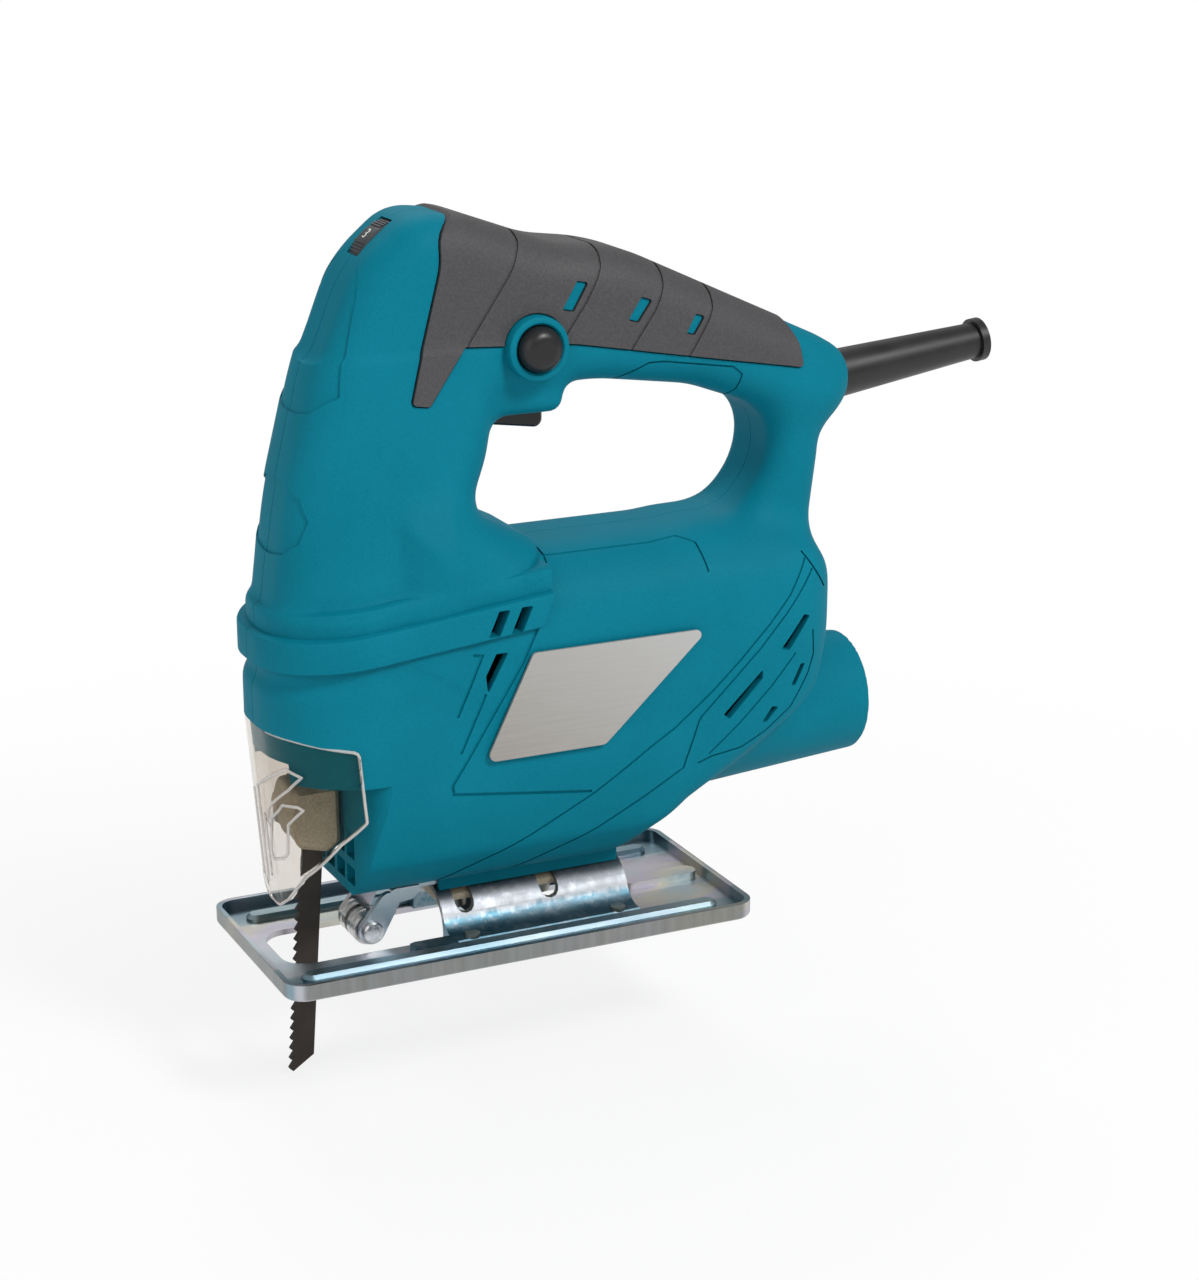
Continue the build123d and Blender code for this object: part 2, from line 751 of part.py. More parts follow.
# Clamp that holds the base to the housing
front_bolt, rear_bolt = bolt_places
clamp_shoe = bar_x(arch_inner - free_gap, front_bolt - shoe_over, rear_bolt + shoe_over, 0, tilt_z)
clamp_shoe &= block(-far, far, -shoe_half, shoe_half, shoe_low, far)
base_bolts = Part()
square_nuts = Part()
bolt_low = shoe_low - bolt_head_high
for x in bolt_places:
    bolt = bar_z(bolt_radius, shoe_low, nut_high, x, 0)
    bolt += bar_z(bolt_head_radius, bolt_low, shoe_low, x, 0)
    base_bolts += bolt - bar_z(bolt_socket, bolt_low - 1, bolt_low + bolt_socket_deep, x, 0)
    square_nuts += block(x - nut_half, x + nut_half, -nut_half, nut_half, nut_low, nut_high)
clamp_shoe -= base_bolts
square_nuts -= base_bolts

# Roller retainer, roller and pin
strip_slot_end = front_bolt + retainer_travel + slot_side
retainer_slot = plan_outline(front_bolt - slot_side, strip_slot_end, slot_side, slot_end, slot_end)
roller_retainer = block(strip_front, strip_rear, -strip_half, strip_half, strip_low, strip_high)
roller_retainer -= plan_slab(retainer_slot, strip_low - 1, strip_high + 1)
web_rear = strip_front + ear_thick
web_low = roller_z - ear_low
roller_retainer += block(strip_front, web_rear, -ear_half, ear_half, web_low, strip_high)
ear_reach = roller_radius - ear_trim
ear_front = roller_x - ear_reach
ear_outline = [
    (web_rear, roller_z + ear_high, 0), (web_rear, web_low, 0),
    (roller_x + ear_low, roller_z - ear_reach, ear_round), (ear_front, roller_z - ear_low, ear_round),
    (ear_front, roller_z + ear_low, ear_round), (roller_x + ear_low, roller_z + ear_reach, ear_round),
]
for side in (-1, 1):
    low_y, high_y = sorted((side * ear_half, side * (ear_half - ear_thick)))
    roller_retainer += flank_prism(ear_outline, low_y, high_y)
pin_half = ear_half + roller_pin_over
roller_pin = bar_y(roller_pin_radius, -pin_half, pin_half, roller_x, roller_z)
roller_retainer -= roller_pin
roller_half = ear_half - ear_thick - free_gap
guide_roller = bar_y(roller_radius, -roller_half, roller_half, roller_x, roller_z)
groove = bar_y(roller_radius + 1, -groove_half, groove_half, roller_x, roller_z)
guide_roller -= groove - bar_y(roller_radius - groove_depth, -groove_half, groove_half, roller_x, roller_z)
guide_roller -= bar_y(roller_pin_radius + run_gap, -far, far, roller_x, roller_z)

# Switch, trigger, lock button and speed dial
switch_body = block(switch_start, switch_end, -switch_half, switch_half, switch_low, switch_high)
trigger_outline = [
    (trigger_front, trigger_low + trigger_slope, 1), (trigger_rear, trigger_low, 2.2),
    (trigger_rear, trigger_top, 1), (trigger_front, trigger_top, 1),
]
trigger = side_slab(trigger_outline, trigger_half)
flat_edges = [e for e in trigger.edges() if abs(abs(e.center().Y) - trigger_half) < 0.01]
trigger = chamfer(flat_edges, length=trigger_chamfer)
lock_inner = switch_half + lock_travel + free_gap
lock_button = bar_y(lock_radius, -lock_face, -lock_inner, lock_x, lock_z)
dome = [e for e in lock_button.edges() if e.center().Y < -lock_face + 0.01]
lock_button = fillet(dome, radius=lock_dome)
flange_face = handle_half - wall - free_gap
flange_radius = lock_radius + lock_flange
lock_button += bar_y(flange_radius, -flange_face, -flange_face + lock_flange_thick, lock_x, lock_z)
speed_dial = bar_y(dial_radius, -dial_half, dial_half, dial_x, dial_z)
notch_floor = dial_radius - dial_notch_deep
notch = block(-dial_notch_half, dial_notch_half, -dial_half - 1, dial_half + 1,
              notch_floor, dial_radius + 1)
for i in range(dial_teeth):
    speed_dial -= Pos(dial_x, 0, dial_z) * Rot(0, i * 360 / dial_teeth, 0) * notch
speed_dial -= bar_y(dial_bore + run_gap, -far, far, dial_x, dial_z)
pot_start = dial_half + free_gap
speed_module = Pos(dial_x, pot_start + module_deep / 2, dial_z)
speed_module *= Box(2 * module_half, module_deep, 2 * module_half)
speed_module += bar_y(dial_bore, -dial_half, pot_start + 1, dial_x, dial_z)

# Grip, name plate, cord guard and clear blade guard
grip_space = flank_prism(grip_outline, -far, far)
for window in grip_windows:
    grip_space -= flank_prism(slanted(*window), -far, far)
grip_space -= pillow(handle_outline, handle_half, handle_round, grip_depth)
handle_grip = grip_space & pillow(handle_outline, handle_half, handle_round, -grip_proud)
lock_collar = bar_y(collar_radius, -collar_face, 0, lock_x, lock_z)
handle_grip -= bar_y(collar_radius + free_gap, -far, 0, lock_x, lock_z)
label_space = flank_prism(label_outline, -far, 0) - motor_body(label_depth)
name_plate = label_space & motor_body(-label_proud)
cord_place = Pos(cord_x, 0, cord_z) * Rot(0, 90 - cord_rise, 0)
guard_solid = Pos(0, 0, guard_length / 2) * Cone(guard_root, guard_tip, guard_length)
guard_solid += bar_z(guard_tip + guard_collar, guard_length - guard_collar_long, guard_length, 0, 0)
guard_solid += bar_z(guard_flange, -guard_flange_thick, 0, 0, 0)
guard_solid = cord_place * guard_solid
cord_guard = guard_solid - cord_place * Cylinder(guard_bore, 4 * guard_length)
shield_block = flank_prism(shield_side, -far, far)
shield_block &= extrude(Plane.YZ * rounded(mirrored(shield_face)), amount=far, both=True)
shield_space = shield_block - shield_form(shield_thick)
blade_guard = shield_space & shield_form(0)

# Screws and cord clamp
housing_screws = Part()
for x, z, seat in screw_places:
    head_face = seat + screw_head_high
    screw = bar_y(screw_radius, -screw_tip, seat, x, z) + bar_y(screw_head, seat, head_face, x, z)
    housing_screws += screw - bar_y(screw_socket, head_face - screw_socket_deep, head_face + 1, x, z)
cord_clamp = block(clamp_x - clamp_half, clamp_x + clamp_half, -clamp_thick, 0, clamp_low, clamp_high)
clamp_screws = Part()
clamp_screw_places = (clamp_low + clamp_screw_inset, clamp_high - clamp_screw_inset)
clamp_face = -clamp_thick
for z in clamp_screw_places:
    clamp_screws += bar_y(clamp_screw, clamp_face, clamp_screw_deep, clamp_x, z)
    clamp_screws += bar_y(clamp_screw_head, clamp_face - clamp_screw_head_high, clamp_face, clamp_x, z)
cord_clamp -= clamp_screws

# Housing: outer form, cavity and what stands in it
outer = shell_form(0)
outer += collar(band_low, band_mid, band_proud) + collar(band_mid, head_top - head_round, band_proud / 3)
hood = block(hood_front, hood_rear, -hood_half, hood_half, hood_low, hood_low + hood_high)
outer += fillet(hood.edges(), radius=hood_round)
port_cone = loft([
    Plane.YZ.offset(port_start) * Pos(0, port_z) * Circle(port_root),
    Plane.YZ.offset(port_end) * Pos(0, port_z) * Circle(port_outer),
])
outer += port_cone
outer -= grip_space
outer -= label_space
outer += lock_collar
outer -= nose_cut()
outer -= shield_space
cavity = shell_form(wall)
hood_inner = hood_half - wall
cavity += block(hood_front + wall, hood_rear - wall, -hood_inner, hood_inner, hood_low + wall, switch_low)
pinion_floor = motor_z - pinion_tip - rib_thick
cavity -= block(-far, chin_front + wall, -far, far, 0, pinion_floor)
cavity -= block(-far, gear_front - bush_rib_gap, -far, far, 0, low_bush_end)
cavity -= nose_cut()

ribs = block(-far, rod_x + bush_radius, -far, far, high_bush_start, high_bush_end)
ribs += block(plate_front - plate_rib, plate_rear + plate_rib, -far, far, 0, far)
plate_inner = plate_half - plate_grip
ribs -= block(plate_front - rib_thick, plate_rear + rib_thick, -plate_inner, plate_inner,
              plate_low + plate_grip, plate_high - plate_grip)
stator_reach = stator_radius + rib_thick
for x in (stack_start + rib_thick, stack_end - 2 * rib_thick):
    ribs += block(x, x + rib_thick, -far, far, motor_z - stator_reach, motor_z + stator_reach)
ribs += block(rear_bearing_start - 1, rear_bearing_end + 1, -far, far, port_z, motor_z + bearing_rib)
ribs += brush_block(-far, far, rib_thick) - brush_block(-brush_rib_start, brush_rib_start, far)
for x in (switch_start - wall, switch_end - wall):
    ribs += block(x, x + 2 * wall, -far, far, switch_low - 2 * wall, switch_high + 2 * wall)
module_rib = module_half + wall
ribs += block(dial_x - module_rib, dial_x + module_rib, pot_start + wall, far, dial_z - module_rib, dial_z)
nut_rib = nut_half + wall
for x in bolt_places:
    ribs += block(x - nut_rib, x + nut_rib, -nut_rib, nut_rib, body_floor, nut_high)
port_start_x = port_end - port_depth
ribs += bar_x(duct_bore + duct_wall, chin_front, port_start_x, 0, duct_z)
ribs += port_cone & block(port_start_x - wall, far * 2, -far, far, 0, far)
for x, z, seat in screw_places:
    ribs += bar_y(boss_radius, -far, far, x, z)
for z in clamp_screw_places:
    ribs += bar_y(clamp_boss, 0, far, clamp_x, z)
housing = outer - cavity
housing += ribs & cavity
saddle = block(arch_front + saddle_inset, arch_rear - saddle_inset, -saddle_half, saddle_half,
               shoe_low, body_floor + 1)
housing += saddle - bar_x(seat_radius, -far, far, 0, tilt_z)
strip_room = strip_half + seat_gap
housing -= block(-far, strip_rear + wall, -strip_room, strip_room, 0, strip_high + seat_gap)

# Openings through the shell
housing -= bar_x(port_bore, port_start_x, port_end + 1, 0, port_z)
housing -= bar_x(duct_bore, chin_front - 1, port_start_x + 1, 0, duct_z)
housing -= block(-far, chin_front, -chamber_half, chamber_half, 0, chamber_roof)
housing -= bar_x(stator_radius, stack_start - coil_over - 1, stack_end + coil_over + 1, 0, motor_z)
housing -= bar_x(fan_radius + 1, fan_start - 1, fan_end + 1, 0, motor_z)
housing -= bar_x(shaft_radius + shaft_room, plate_front, rear_bearing_end, 0, motor_z)
housing -= bar_z(rod_radius + 1, chamber_roof - 1, rod_top + half_stroke + wall, rod_x, 0)
trigger_room = trigger_half + free_gap
housing -= block(trigger_front - free_gap, trigger_rear + free_gap, -trigger_room, trigger_room,
                 trigger_low - 1, switch_low)
housing -= bar_y(lock_radius + free_gap, -far, -switch_half, lock_x, lock_z)
housing -= bar_y(flange_radius + free_gap, -handle_half + wall, -switch_half, lock_x, lock_z)
housing -= bar_y(dial_radius + 2 * free_gap, -dial_half - free_gap, dial_half + free_gap, dial_x, dial_z)
for x, z, seat in screw_places:
    housing -= bar_y(screw_head + seat_gap, seat, far, x, z)
for vent in vents:
    for low_y, high_y in ((-far, -vent_inner), (vent_inner, far)):
        housing -= flank_prism(slanted(*vent), low_y, high_y)
fixed_pieces = [
    rear_bearing, holder_blanks, gear_plate_blank, upper_bush, lower_bush, rod_seal, base_bolts,
    square_nuts, switch_body, speed_module, guard_solid, cord_clamp, clamp_screws, housing_screws,
]
for piece in fixed_pieces:
    housing -= piece
housing_left = housing & block(-2 * far, 2 * far, -far, 0, -far, 2 * far)
housing_right = housing & block(-2 * far, 2 * far, 0, far, -far, 2 * far)

nodes = {
    "housing_left": housing_left, "housing_right": housing_right, "handle_grip": handle_grip,
    "name_plate": name_plate, "blade_guard": blade_guard, "housing_screws": housing_screws,
    "cord_guard": cord_guard, "cord_clamp": cord_clamp, "clamp_screws": clamp_screws,
    "switch_body": switch_body, "speed_module": speed_module, "stator_core": stator_core,
    "field_coils": field_coils, "front_bearing": front_bearing, "rear_bearing": rear_bearing,
    "brush_holders": brush_holders, "carbon_brushes": carbon_brushes, "gear_plate": gear_plate,
    "gear_pin": gear_pin, "gear_clip": gear_clip, "upper_bush": upper_bush, "lower_bush": lower_bush,
    "rod_seal": rod_seal, "base_bolts": base_bolts, "clamp_shoe": clamp_shoe, "square_nuts": square_nuts,
    "armature_shaft": armature_shaft, "armature_core": armature_core,
    "armature_windings": armature_windings, "commutator": commutator, "fan": fan,
    "drive_gear": drive_gear, "crank_pin": crank_pin,
    "plunger_rod": plunger_rod, "yoke_roller": yoke_roller, "blade_holder": blade_holder,
    "holder_screws": holder_screws, "blade": blade, "trigger": trigger, "lock_button": lock_button,
    "speed_dial": speed_dial, "base_plate": base_plate, "base_bracket": base_bracket,
    "bracket_rivets": bracket_rivets, "roller_retainer": roller_retainer, "roller_pin": roller_pin,
    "guide_roller": guide_roller,
}
os.makedirs("parts", exist_ok=True)
for name, piece in nodes.items():
    export_step(piece, f"parts/{name}.step")
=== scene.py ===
import json
import math
import bpy
import bmesh
import numpy as np
from mathutils import Matrix, Vector


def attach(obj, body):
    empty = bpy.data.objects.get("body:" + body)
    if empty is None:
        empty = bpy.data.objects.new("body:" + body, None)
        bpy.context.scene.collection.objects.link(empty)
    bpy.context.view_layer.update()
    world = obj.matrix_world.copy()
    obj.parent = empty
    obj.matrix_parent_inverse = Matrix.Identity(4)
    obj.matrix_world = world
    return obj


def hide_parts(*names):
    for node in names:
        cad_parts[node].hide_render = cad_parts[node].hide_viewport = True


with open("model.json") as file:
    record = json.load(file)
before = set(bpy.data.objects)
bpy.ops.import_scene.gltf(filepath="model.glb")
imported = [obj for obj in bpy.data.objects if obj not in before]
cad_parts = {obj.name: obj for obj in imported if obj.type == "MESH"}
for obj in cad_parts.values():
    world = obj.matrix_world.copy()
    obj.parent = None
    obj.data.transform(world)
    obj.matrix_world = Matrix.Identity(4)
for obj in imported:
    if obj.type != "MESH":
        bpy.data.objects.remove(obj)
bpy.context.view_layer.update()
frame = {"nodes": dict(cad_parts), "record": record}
nodes = frame["nodes"]
scene = bpy.context.scene
print("frame loaded:", len(nodes), "nodes")


# shader helpers
class Wire:
    def __init__(self, paint, socket):
        self.paint = paint
        self.socket = socket

    def math(self, operation, other=None, swap=False):
        pair = [self] if other is None else [other, self] if swap else [self, other]
        return self.paint.add("ShaderNodeMath", {"operation": operation}, dict(enumerate(pair)))[0]

    def __add__(self, other): return self.math("ADD", other)
    def __radd__(self, other): return self.math("ADD", other, True)
    def __sub__(self, other): return self.math("SUBTRACT", other)
    def __rsub__(self, other): return self.math("SUBTRACT", other, True)
    def __mul__(self, other): return self.math("MULTIPLY", other)
    def __rmul__(self, other): return self.math("MULTIPLY", other, True)


class Paint:
    def __init__(self, name):
        self.material = bpy.data.materials.new(name)
        self.material.use_nodes = True
        self.tree = self.material.node_tree
        self.shader = self.tree.nodes["Principled BSDF"]
        self.place = self.add("ShaderNodeTexCoord")["Object"]

    def add(self, kind, settings=None, sockets=None):
        node = self.tree.nodes.new(kind)
        for key, value in (settings or {}).items():
            if key == "stops":
                ramp = node.color_ramp
                while len(ramp.elements) < len(value):
                    ramp.elements.new(0.5)
                for element, (position, colour) in zip(ramp.elements, value):
                    element.position = position
                    element.color = (*colour, 1)
            else:
                setattr(node, key, value)
        for key, value in (sockets or {}).items():
            self.put(node.inputs[key], value)
        wires = {}
        for number, socket in enumerate(node.outputs):
            wires[number] = Wire(self, socket)
            wires[socket.name] = wires.get(socket.name, wires[number])
        return wires

    def put(self, socket, value):
        if isinstance(value, Wire):
            self.tree.links.new(value.socket, socket)
        elif hasattr(value, "__len__") and len(value) == 3 and socket.type == "RGBA":
            socket.default_value = (*value, 1)
        else:
            socket.default_value = value

    def set(self, **values):
        for key, value in values.items():
            self.put(self.shader.inputs[key.replace("_", " ")], value)

    def noise(self, scale, detail=2.0, rough=0.5, stretch=None):
        place = self.place
        if stretch:
            place = self.add("ShaderNodeMapping", None, {"Vector": place, "Scale": stretch})[0]
        sockets = {"Vector": place, "Scale": scale, "Detail": detail, "Roughness": rough}
        return self.add("ShaderNodeTexNoise", None, sockets)[0]

    def span(self, value, low, high, newLow=0.0, newHigh=1.0):
        sockets = {"Value": value, "From Min": low, "From Max": high, "To Min": newLow, "To Max": newHigh}
        return self.add("ShaderNodeMapRange", {"clamp": True}, sockets)[0]

    def blendColour(self, factor, first, second):
        return self.add("ShaderNodeMix", {"data_type": "RGBA"}, {0: factor, 6: first, 7: second})[2]

    def bump(self, height, strength, distance):
        sockets = {"Height": height, "Strength": strength, "Distance": distance}
        self.set(Normal=self.add("ShaderNodeBump", None, sockets)["Normal"])
        return self


def shade(colour, times, plus=0.0):
    return tuple(c * times + plus for c in colour)


def linear(red, green, blue):
    def one(value):
        value /= 255
        return value / 12.92 if value <= 0.04045 else ((value + 0.055) / 1.055) ** 2.4
    return (one(red), one(green), one(blue))


# finishes
def mouldedPlastic(name, colour, grain=0.00028, depth=0.00004, rough=0.5, drift=0.05, shine=0.09):
    paint = Paint(name)
    cloud = paint.noise(38, 4)
    fine = paint.noise(1 / grain, 2, 0.6)
    dark = shade(colour, 1 - 2 * drift)
    pale = shade(colour, 1 + drift, 0.002)
    paint.set(Base_Color=paint.blendColour(paint.span(cloud * 0.5 + fine * 0.5, 0.35, 0.65), dark, pale))
    paint.set(Roughness=paint.span(cloud * 0.6 + fine * 0.4, 0.3, 0.7, rough - 0.05, rough + 0.07))
    paint.set(Specular_IOR_Level=shine)
    return paint.bump(fine, 0.45, depth).material


def softGrip(name, colour):
    paint = Paint(name)
    pebble = paint.add("ShaderNodeTexVoronoi", {"feature": "SMOOTH_F1"},
                       {"Vector": paint.place, "Scale": 1700, "Smoothness": 0.6})["Distance"]
    cloud = paint.noise(50, 3)
    wear = paint.span(cloud * 0.4 + pebble * 0.6, 0.2, 0.62)
    pale = shade(colour, 1.35, 0.004)
    paint.set(Base_Color=paint.blendColour(wear, colour, pale))
    paint.set(Roughness=paint.span(cloud, 0.3, 0.7, 0.6, 0.74))
    return paint.bump(pebble, 0.5, 0.00014).material


def smoothRubber(name, colour, rough=0.4):
    paint = Paint(name)
    cloud = paint.noise(90, 3)
    fine = paint.noise(2400, 2)
    pale = shade(colour, 1.4, 0.003)
    paint.set(Base_Color=paint.blendColour(paint.span(cloud, 0.35, 0.7), colour, pale))
    paint.set(Roughness=paint.span(cloud, 0.3, 0.7, rough - 0.05, rough + 0.08))
    return paint.bump(fine, 0.2, 0.00003).material


def zincPlate(name, part="sheet"):
    # passivated zinc; the base carries a painted reflection of the teal body over its channels and ribs and
    # painted shade on its side walls, the arch painted reflections and a painted highlight band by height
    paint = Paint(name)
    film = paint.noise(24, 3, 0.55, (1.0, 1.6, 1.0))
    rolled = paint.noise(900, 2, 0.5, (0.06, 1.0, 1.0))
    stain = paint.noise(75, 4, 0.6)
    streak = paint.noise(420, 3, 0.6, (1.0, 0.08, 0.08))
    axes = paint.add("ShaderNodeSeparateXYZ", None, {0: paint.place})
    tint = paint.add("ShaderNodeValToRGB", {"stops": [
        (0.28, (0.40, 0.47, 0.53)), (0.42, (0.47, 0.53, 0.56)), (0.52, (0.53, 0.50, 0.57)),
        (0.6, (0.56, 0.54, 0.46)), (0.72, (0.42, 0.50, 0.54))]}, {"Fac": film})["Color"]
    if part == "base":
        side = axes["Y"].math("ABSOLUTE")
        end = axes["X"].math("ABSOLUTE")
        # painted reflection: blue-teal over the channels and ribs, standing in for the teal body mirrored in
        # the zinc
        tealReflectionBand = paint.span(side, 0.0186, 0.0202) * paint.span(side, 0.0308, 0.0318, 1, 0)
        blue = paint.blendColour(paint.span(film, 0.4, 0.62), (0.15, 0.27, 0.33), (0.28, 0.4, 0.44))
        tint = paint.blendColour(tealReflectionBand * 0.8, tint, blue)
        # painted shade: the rim's outer side walls darker grey, streaked
        shadedWall = paint.span(side, 0.0324, 0.0329).math("MAXIMUM", paint.span(end, 0.0684, 0.0689))
        tint = paint.blendColour(shadedWall * paint.span(streak, 0.3, 0.7, 0.74, 0.96), tint, (0.22, 0.225, 0.21))
    if part == "arch":
        # painted reflection and highlight by height: dark teal low down, a bright band above it, darker grey
        # higher up
        level = axes["Z"] + (streak - 0.5) * 0.0035
        tint = paint.add("ShaderNodeValToRGB", {"stops": [
            (0.0, (0.1, 0.2, 0.25)), (0.3, (0.07, 0.16, 0.21)), (0.41, (0.39, 0.41, 0.43)),
            (0.48, (0.3, 0.315, 0.335)), (0.58, (0.17, 0.18, 0.195)), (0.9, (0.26, 0.275, 0.295))]},
            {"Fac": paint.span(level, 0.002, 0.0155)})["Color"]
        patch = paint.span(paint.noise(330, 3, 0.7), 0.5, 0.72, 0, 0.45)
        tint = paint.blendColour(patch, tint, (0.46, 0.47, 0.49))
    paint.set(Base_Color=paint.blendColour(paint.span(stain, 0.45, 0.8, 0, 0.4), tint, (0.3, 0.33, 0.36)))
    paint.set(Metallic=1.0)
    low = 0.36 if part == "arch" else 0.28
    paint.set(Roughness=paint.span(stain * 0.7 + rolled * 0.3, 0.3, 0.7, low, low + 0.18))
    return paint.bump(rolled * 0.6 + film * 0.4, 0.3, 0.00008).material


def bareSteel(name, colour=(0.62, 0.62, 0.61), rough=0.3, stretch=(1, 1, 12)):
    paint = Paint(name)
    lines = paint.noise(420, 3, 0.6, stretch)
    cloud = paint.noise(60, 3)
    dark = shade(colour, 0.72)
    paint.set(Base_Color=paint.blendColour(paint.span(cloud, 0.3, 0.75), colour, dark), Metallic=1.0)
    paint.set(Roughness=paint.span(lines, 0.3, 0.7, rough - 0.07, rough + 0.1))
    return paint.bump(lines, 0.2, 0.00004).material


def sinteredSteel(name):
    paint = Paint(name)
    grain = paint.noise(1500, 3, 0.7)
    cloud = paint.noise(140, 3)
    tone = paint.span(grain * 0.6 + cloud * 0.4, 0.32, 0.68)
    paint.set(Base_Color=paint.blendColour(tone, (0.3, 0.255, 0.175), (0.68, 0.6, 0.45)), Metallic=0.3)
    paint.set(Roughness=paint.span(cloud, 0.3, 0.7, 0.5, 0.7))
    return paint.bump(grain, 0.5, 0.0001).material


def copperWire(name, colour):
    paint = Paint(name)
    wave = paint.add("ShaderNodeTexWave", {"wave_type": "BANDS", "bands_direction": "Z"},
                     {"Vector": paint.place, "Scale": 900, "Distortion": 0.6})["Fac"]
    dark = shade(colour, 0.45)
    paint.set(Base_Color=paint.blendColour(wave, dark, colour), Metallic=0.85)
    paint.set(Roughness=paint.span(wave, 0, 1, 0.3, 0.45))
    return paint.bump(wave, 0.5, 0.0002).material


def clearGuard(name, colour=(0.73, 0.69, 0.64), through=1.0, rough=0.01):
    paint = Paint(name)
    haze = paint.noise(120, 3)
    pale = shade(colour, 1, 0.04)
    paint.set(Base_Color=paint.blendColour(paint.span(haze, 0.3, 0.7), colour, pale))
    paint.set(Transmission_Weight=through, IOR=1.15, Specular_IOR_Level=0.2)
    paint.set(Roughness=paint.span(haze, 0.3, 0.8, rough, rough + 0.06))
    return paint.bump(haze, 0.08, 0.0002).material


def silverPlate(name):
    paint = Paint(name)
    lines = paint.noise(1400, 2, 0.5, (0.04, 1.0, 1.0))
    axes = paint.add("ShaderNodeSeparateXYZ", None, {0: paint.place})
    # painted shade: the label darker towards the front and bottom, lighter towards the rear and top
    along = paint.span(axes["X"] + axes["Z"] * 1.5, 0.075, 0.18)
    tone = paint.blendColour(along, (0.33, 0.31, 0.28), (0.5, 0.5, 0.49))
    paint.set(Base_Color=paint.blendColour(paint.span(lines, 0.35, 0.65, 0, 0.14), tone, (0.6, 0.6, 0.59)))
    paint.set(Metallic=0.55, Roughness=paint.span(lines, 0.3, 0.7, 0.4, 0.52))
    return paint.bump(lines, 0.12, 0.00003).material


finishes = {
    "shell": mouldedPlastic("tealShell", linear(0, 116, 137), 0.0006, 0.00008, 0.6, shine=0.07),
    "soft_grip": softGrip("softGripGrey", linear(57, 56, 58)),
    "plate_silver": silverPlate("barePlate"),
    "clear": clearGuard("clearShield"),
    "black_plastic": mouldedPlastic("blackPlastic", linear(26, 26, 28), 0.0004, 0.00002, 0.36, shine=0.4),
    "dark_plastic": mouldedPlastic("dialGrey", linear(64, 66, 68), 0.0004, 0.00003, 0.5, shine=0.3),
    "steel_screw": bareSteel("zincScrew", (0.5, 0.49, 0.44), 0.34, (1, 1, 1)),
    "black_rubber": smoothRubber("cordRubber", linear(20, 20, 21)),
    "zinc_steel": zincPlate("zincSheet"),
    "blade_steel": bareSteel("blackBlade", (0.055, 0.047, 0.042), 0.42, (1, 1, 0.2)),
    "sintered": sinteredSteel("sinteredHolder"),
    "ground_steel": bareSteel("groundSteel", (0.66, 0.66, 0.65), 0.24, (1, 1, 1)),
    "lamination": bareSteel("laminations", (0.3, 0.3, 0.31), 0.45, (8, 1, 1)),
    "copper": copperWire("enamelledCopper", (0.62, 0.28, 0.12)),
    "bronze": sinteredSteel("bushBronze"),
    "carbon": smoothRubber("brushCarbon", (0.012, 0.012, 0.012), 0.6),
    "die_cast": bareSteel("castPlate", (0.5, 0.5, 0.5), 0.42, (1, 1, 1)),
}
slotOf = {entry["node"]: entry["material_slot"] for entry in frame["record"]["subparts"]}
for name, node in nodes.items():
    node.data.materials.clear()
    node.data.materials.append(finishes[slotOf[name]])
zincBase, zincArch = zincPlate("zincBase", "base"), zincPlate("zincArch", "arch")
nodes["base_plate"].data.materials[0] = zincBase
print("finishes made:", len(finishes) + 2)


# moulded shell, worked out in millimetres and scaled to metres when a piece is finished
shellForm = {
    "handle": [(-61.5, 92, 11), (-58.5, 126, 120), (-49.5, 159, 80), (-37.5, 187, 40), (-22, 200, 14),
               (-9, 198.5, 20), (16, 189.5, 40), (36, 187, 60), (98, 158.5, 30), (107.5, 153, 10.8),
               (107.5, 130.5, 10.8), (84, 139, 20), (58, 148.5, 40), (30, 152.5, 60), (0.5, 151.5, 6),
               (-2, 133, 30), (-8.5, 121, 30), (-8.5, 88, 11)],
    "handleHalf": 17.0, "handleRound": 10.0,
    "post": [(54, 90, 7), (54, 105.5, 7), (70, 107.5, 14), (82.5, 124, 20), (82, 150, 7), (98, 150, 7),
             (98, 127, 30), (95, 104, 40), (95, 90, 7)],
    "postHalf": 15.0, "postRound": 7.0,
    "section": [(29, 111, 24), (29, 52, 60), (22.5, 29.5, 12), (13.2, 18, 1.5)],
    "side": [(-80, 80, 0), (-16, 86, 0), (-5, 112, 0), (62, 112, 60), (86, 108, 20), (100.5, 94, 12),
             (100, 78, 14), (92.5, 62, 10), (53, 34, 10), (36, 17, 15), (-80, 17, 0)],
    "plan": (-65.5, 101.0, 29.05, 26.0, 22.0),
    "head": (-64.0, 9.0, 27.3, 24.5, 4.0), "headTop": 99.2, "headLow": 64.5, "headRound": 2.0, "slope": 6.0,
    "nose": -65.5,
    "neckLow": (92.0, -62.8, -22.5, 25.7, 23.8, 10.0), "neckHigh": (158.0, -50.0, 1.0, 16.5, 15.0, 8.0),
    "shoulder": [(-34, 88, 0), (-34, 127, 6), (-14, 123.5, 14), (-2, 118, 20), (10.5, 111.8, 4),
                 (10.5, 88, 0)],
    "shoulderHalf": 27.3, "shoulderRound": 16.0,
    "hood": ((-4, 20), (-13, 13), (145, 159), 4.0),
    "portSpan": (57.0, 113.2), "portRadii": (21.0, 17.2), "portZ": 51.5,
    "grid": 1.0, "box": ((-68, 117), (-33, 6), (13, 203)),
}
slopeRise = math.tan(math.radians(shellForm["slope"]))


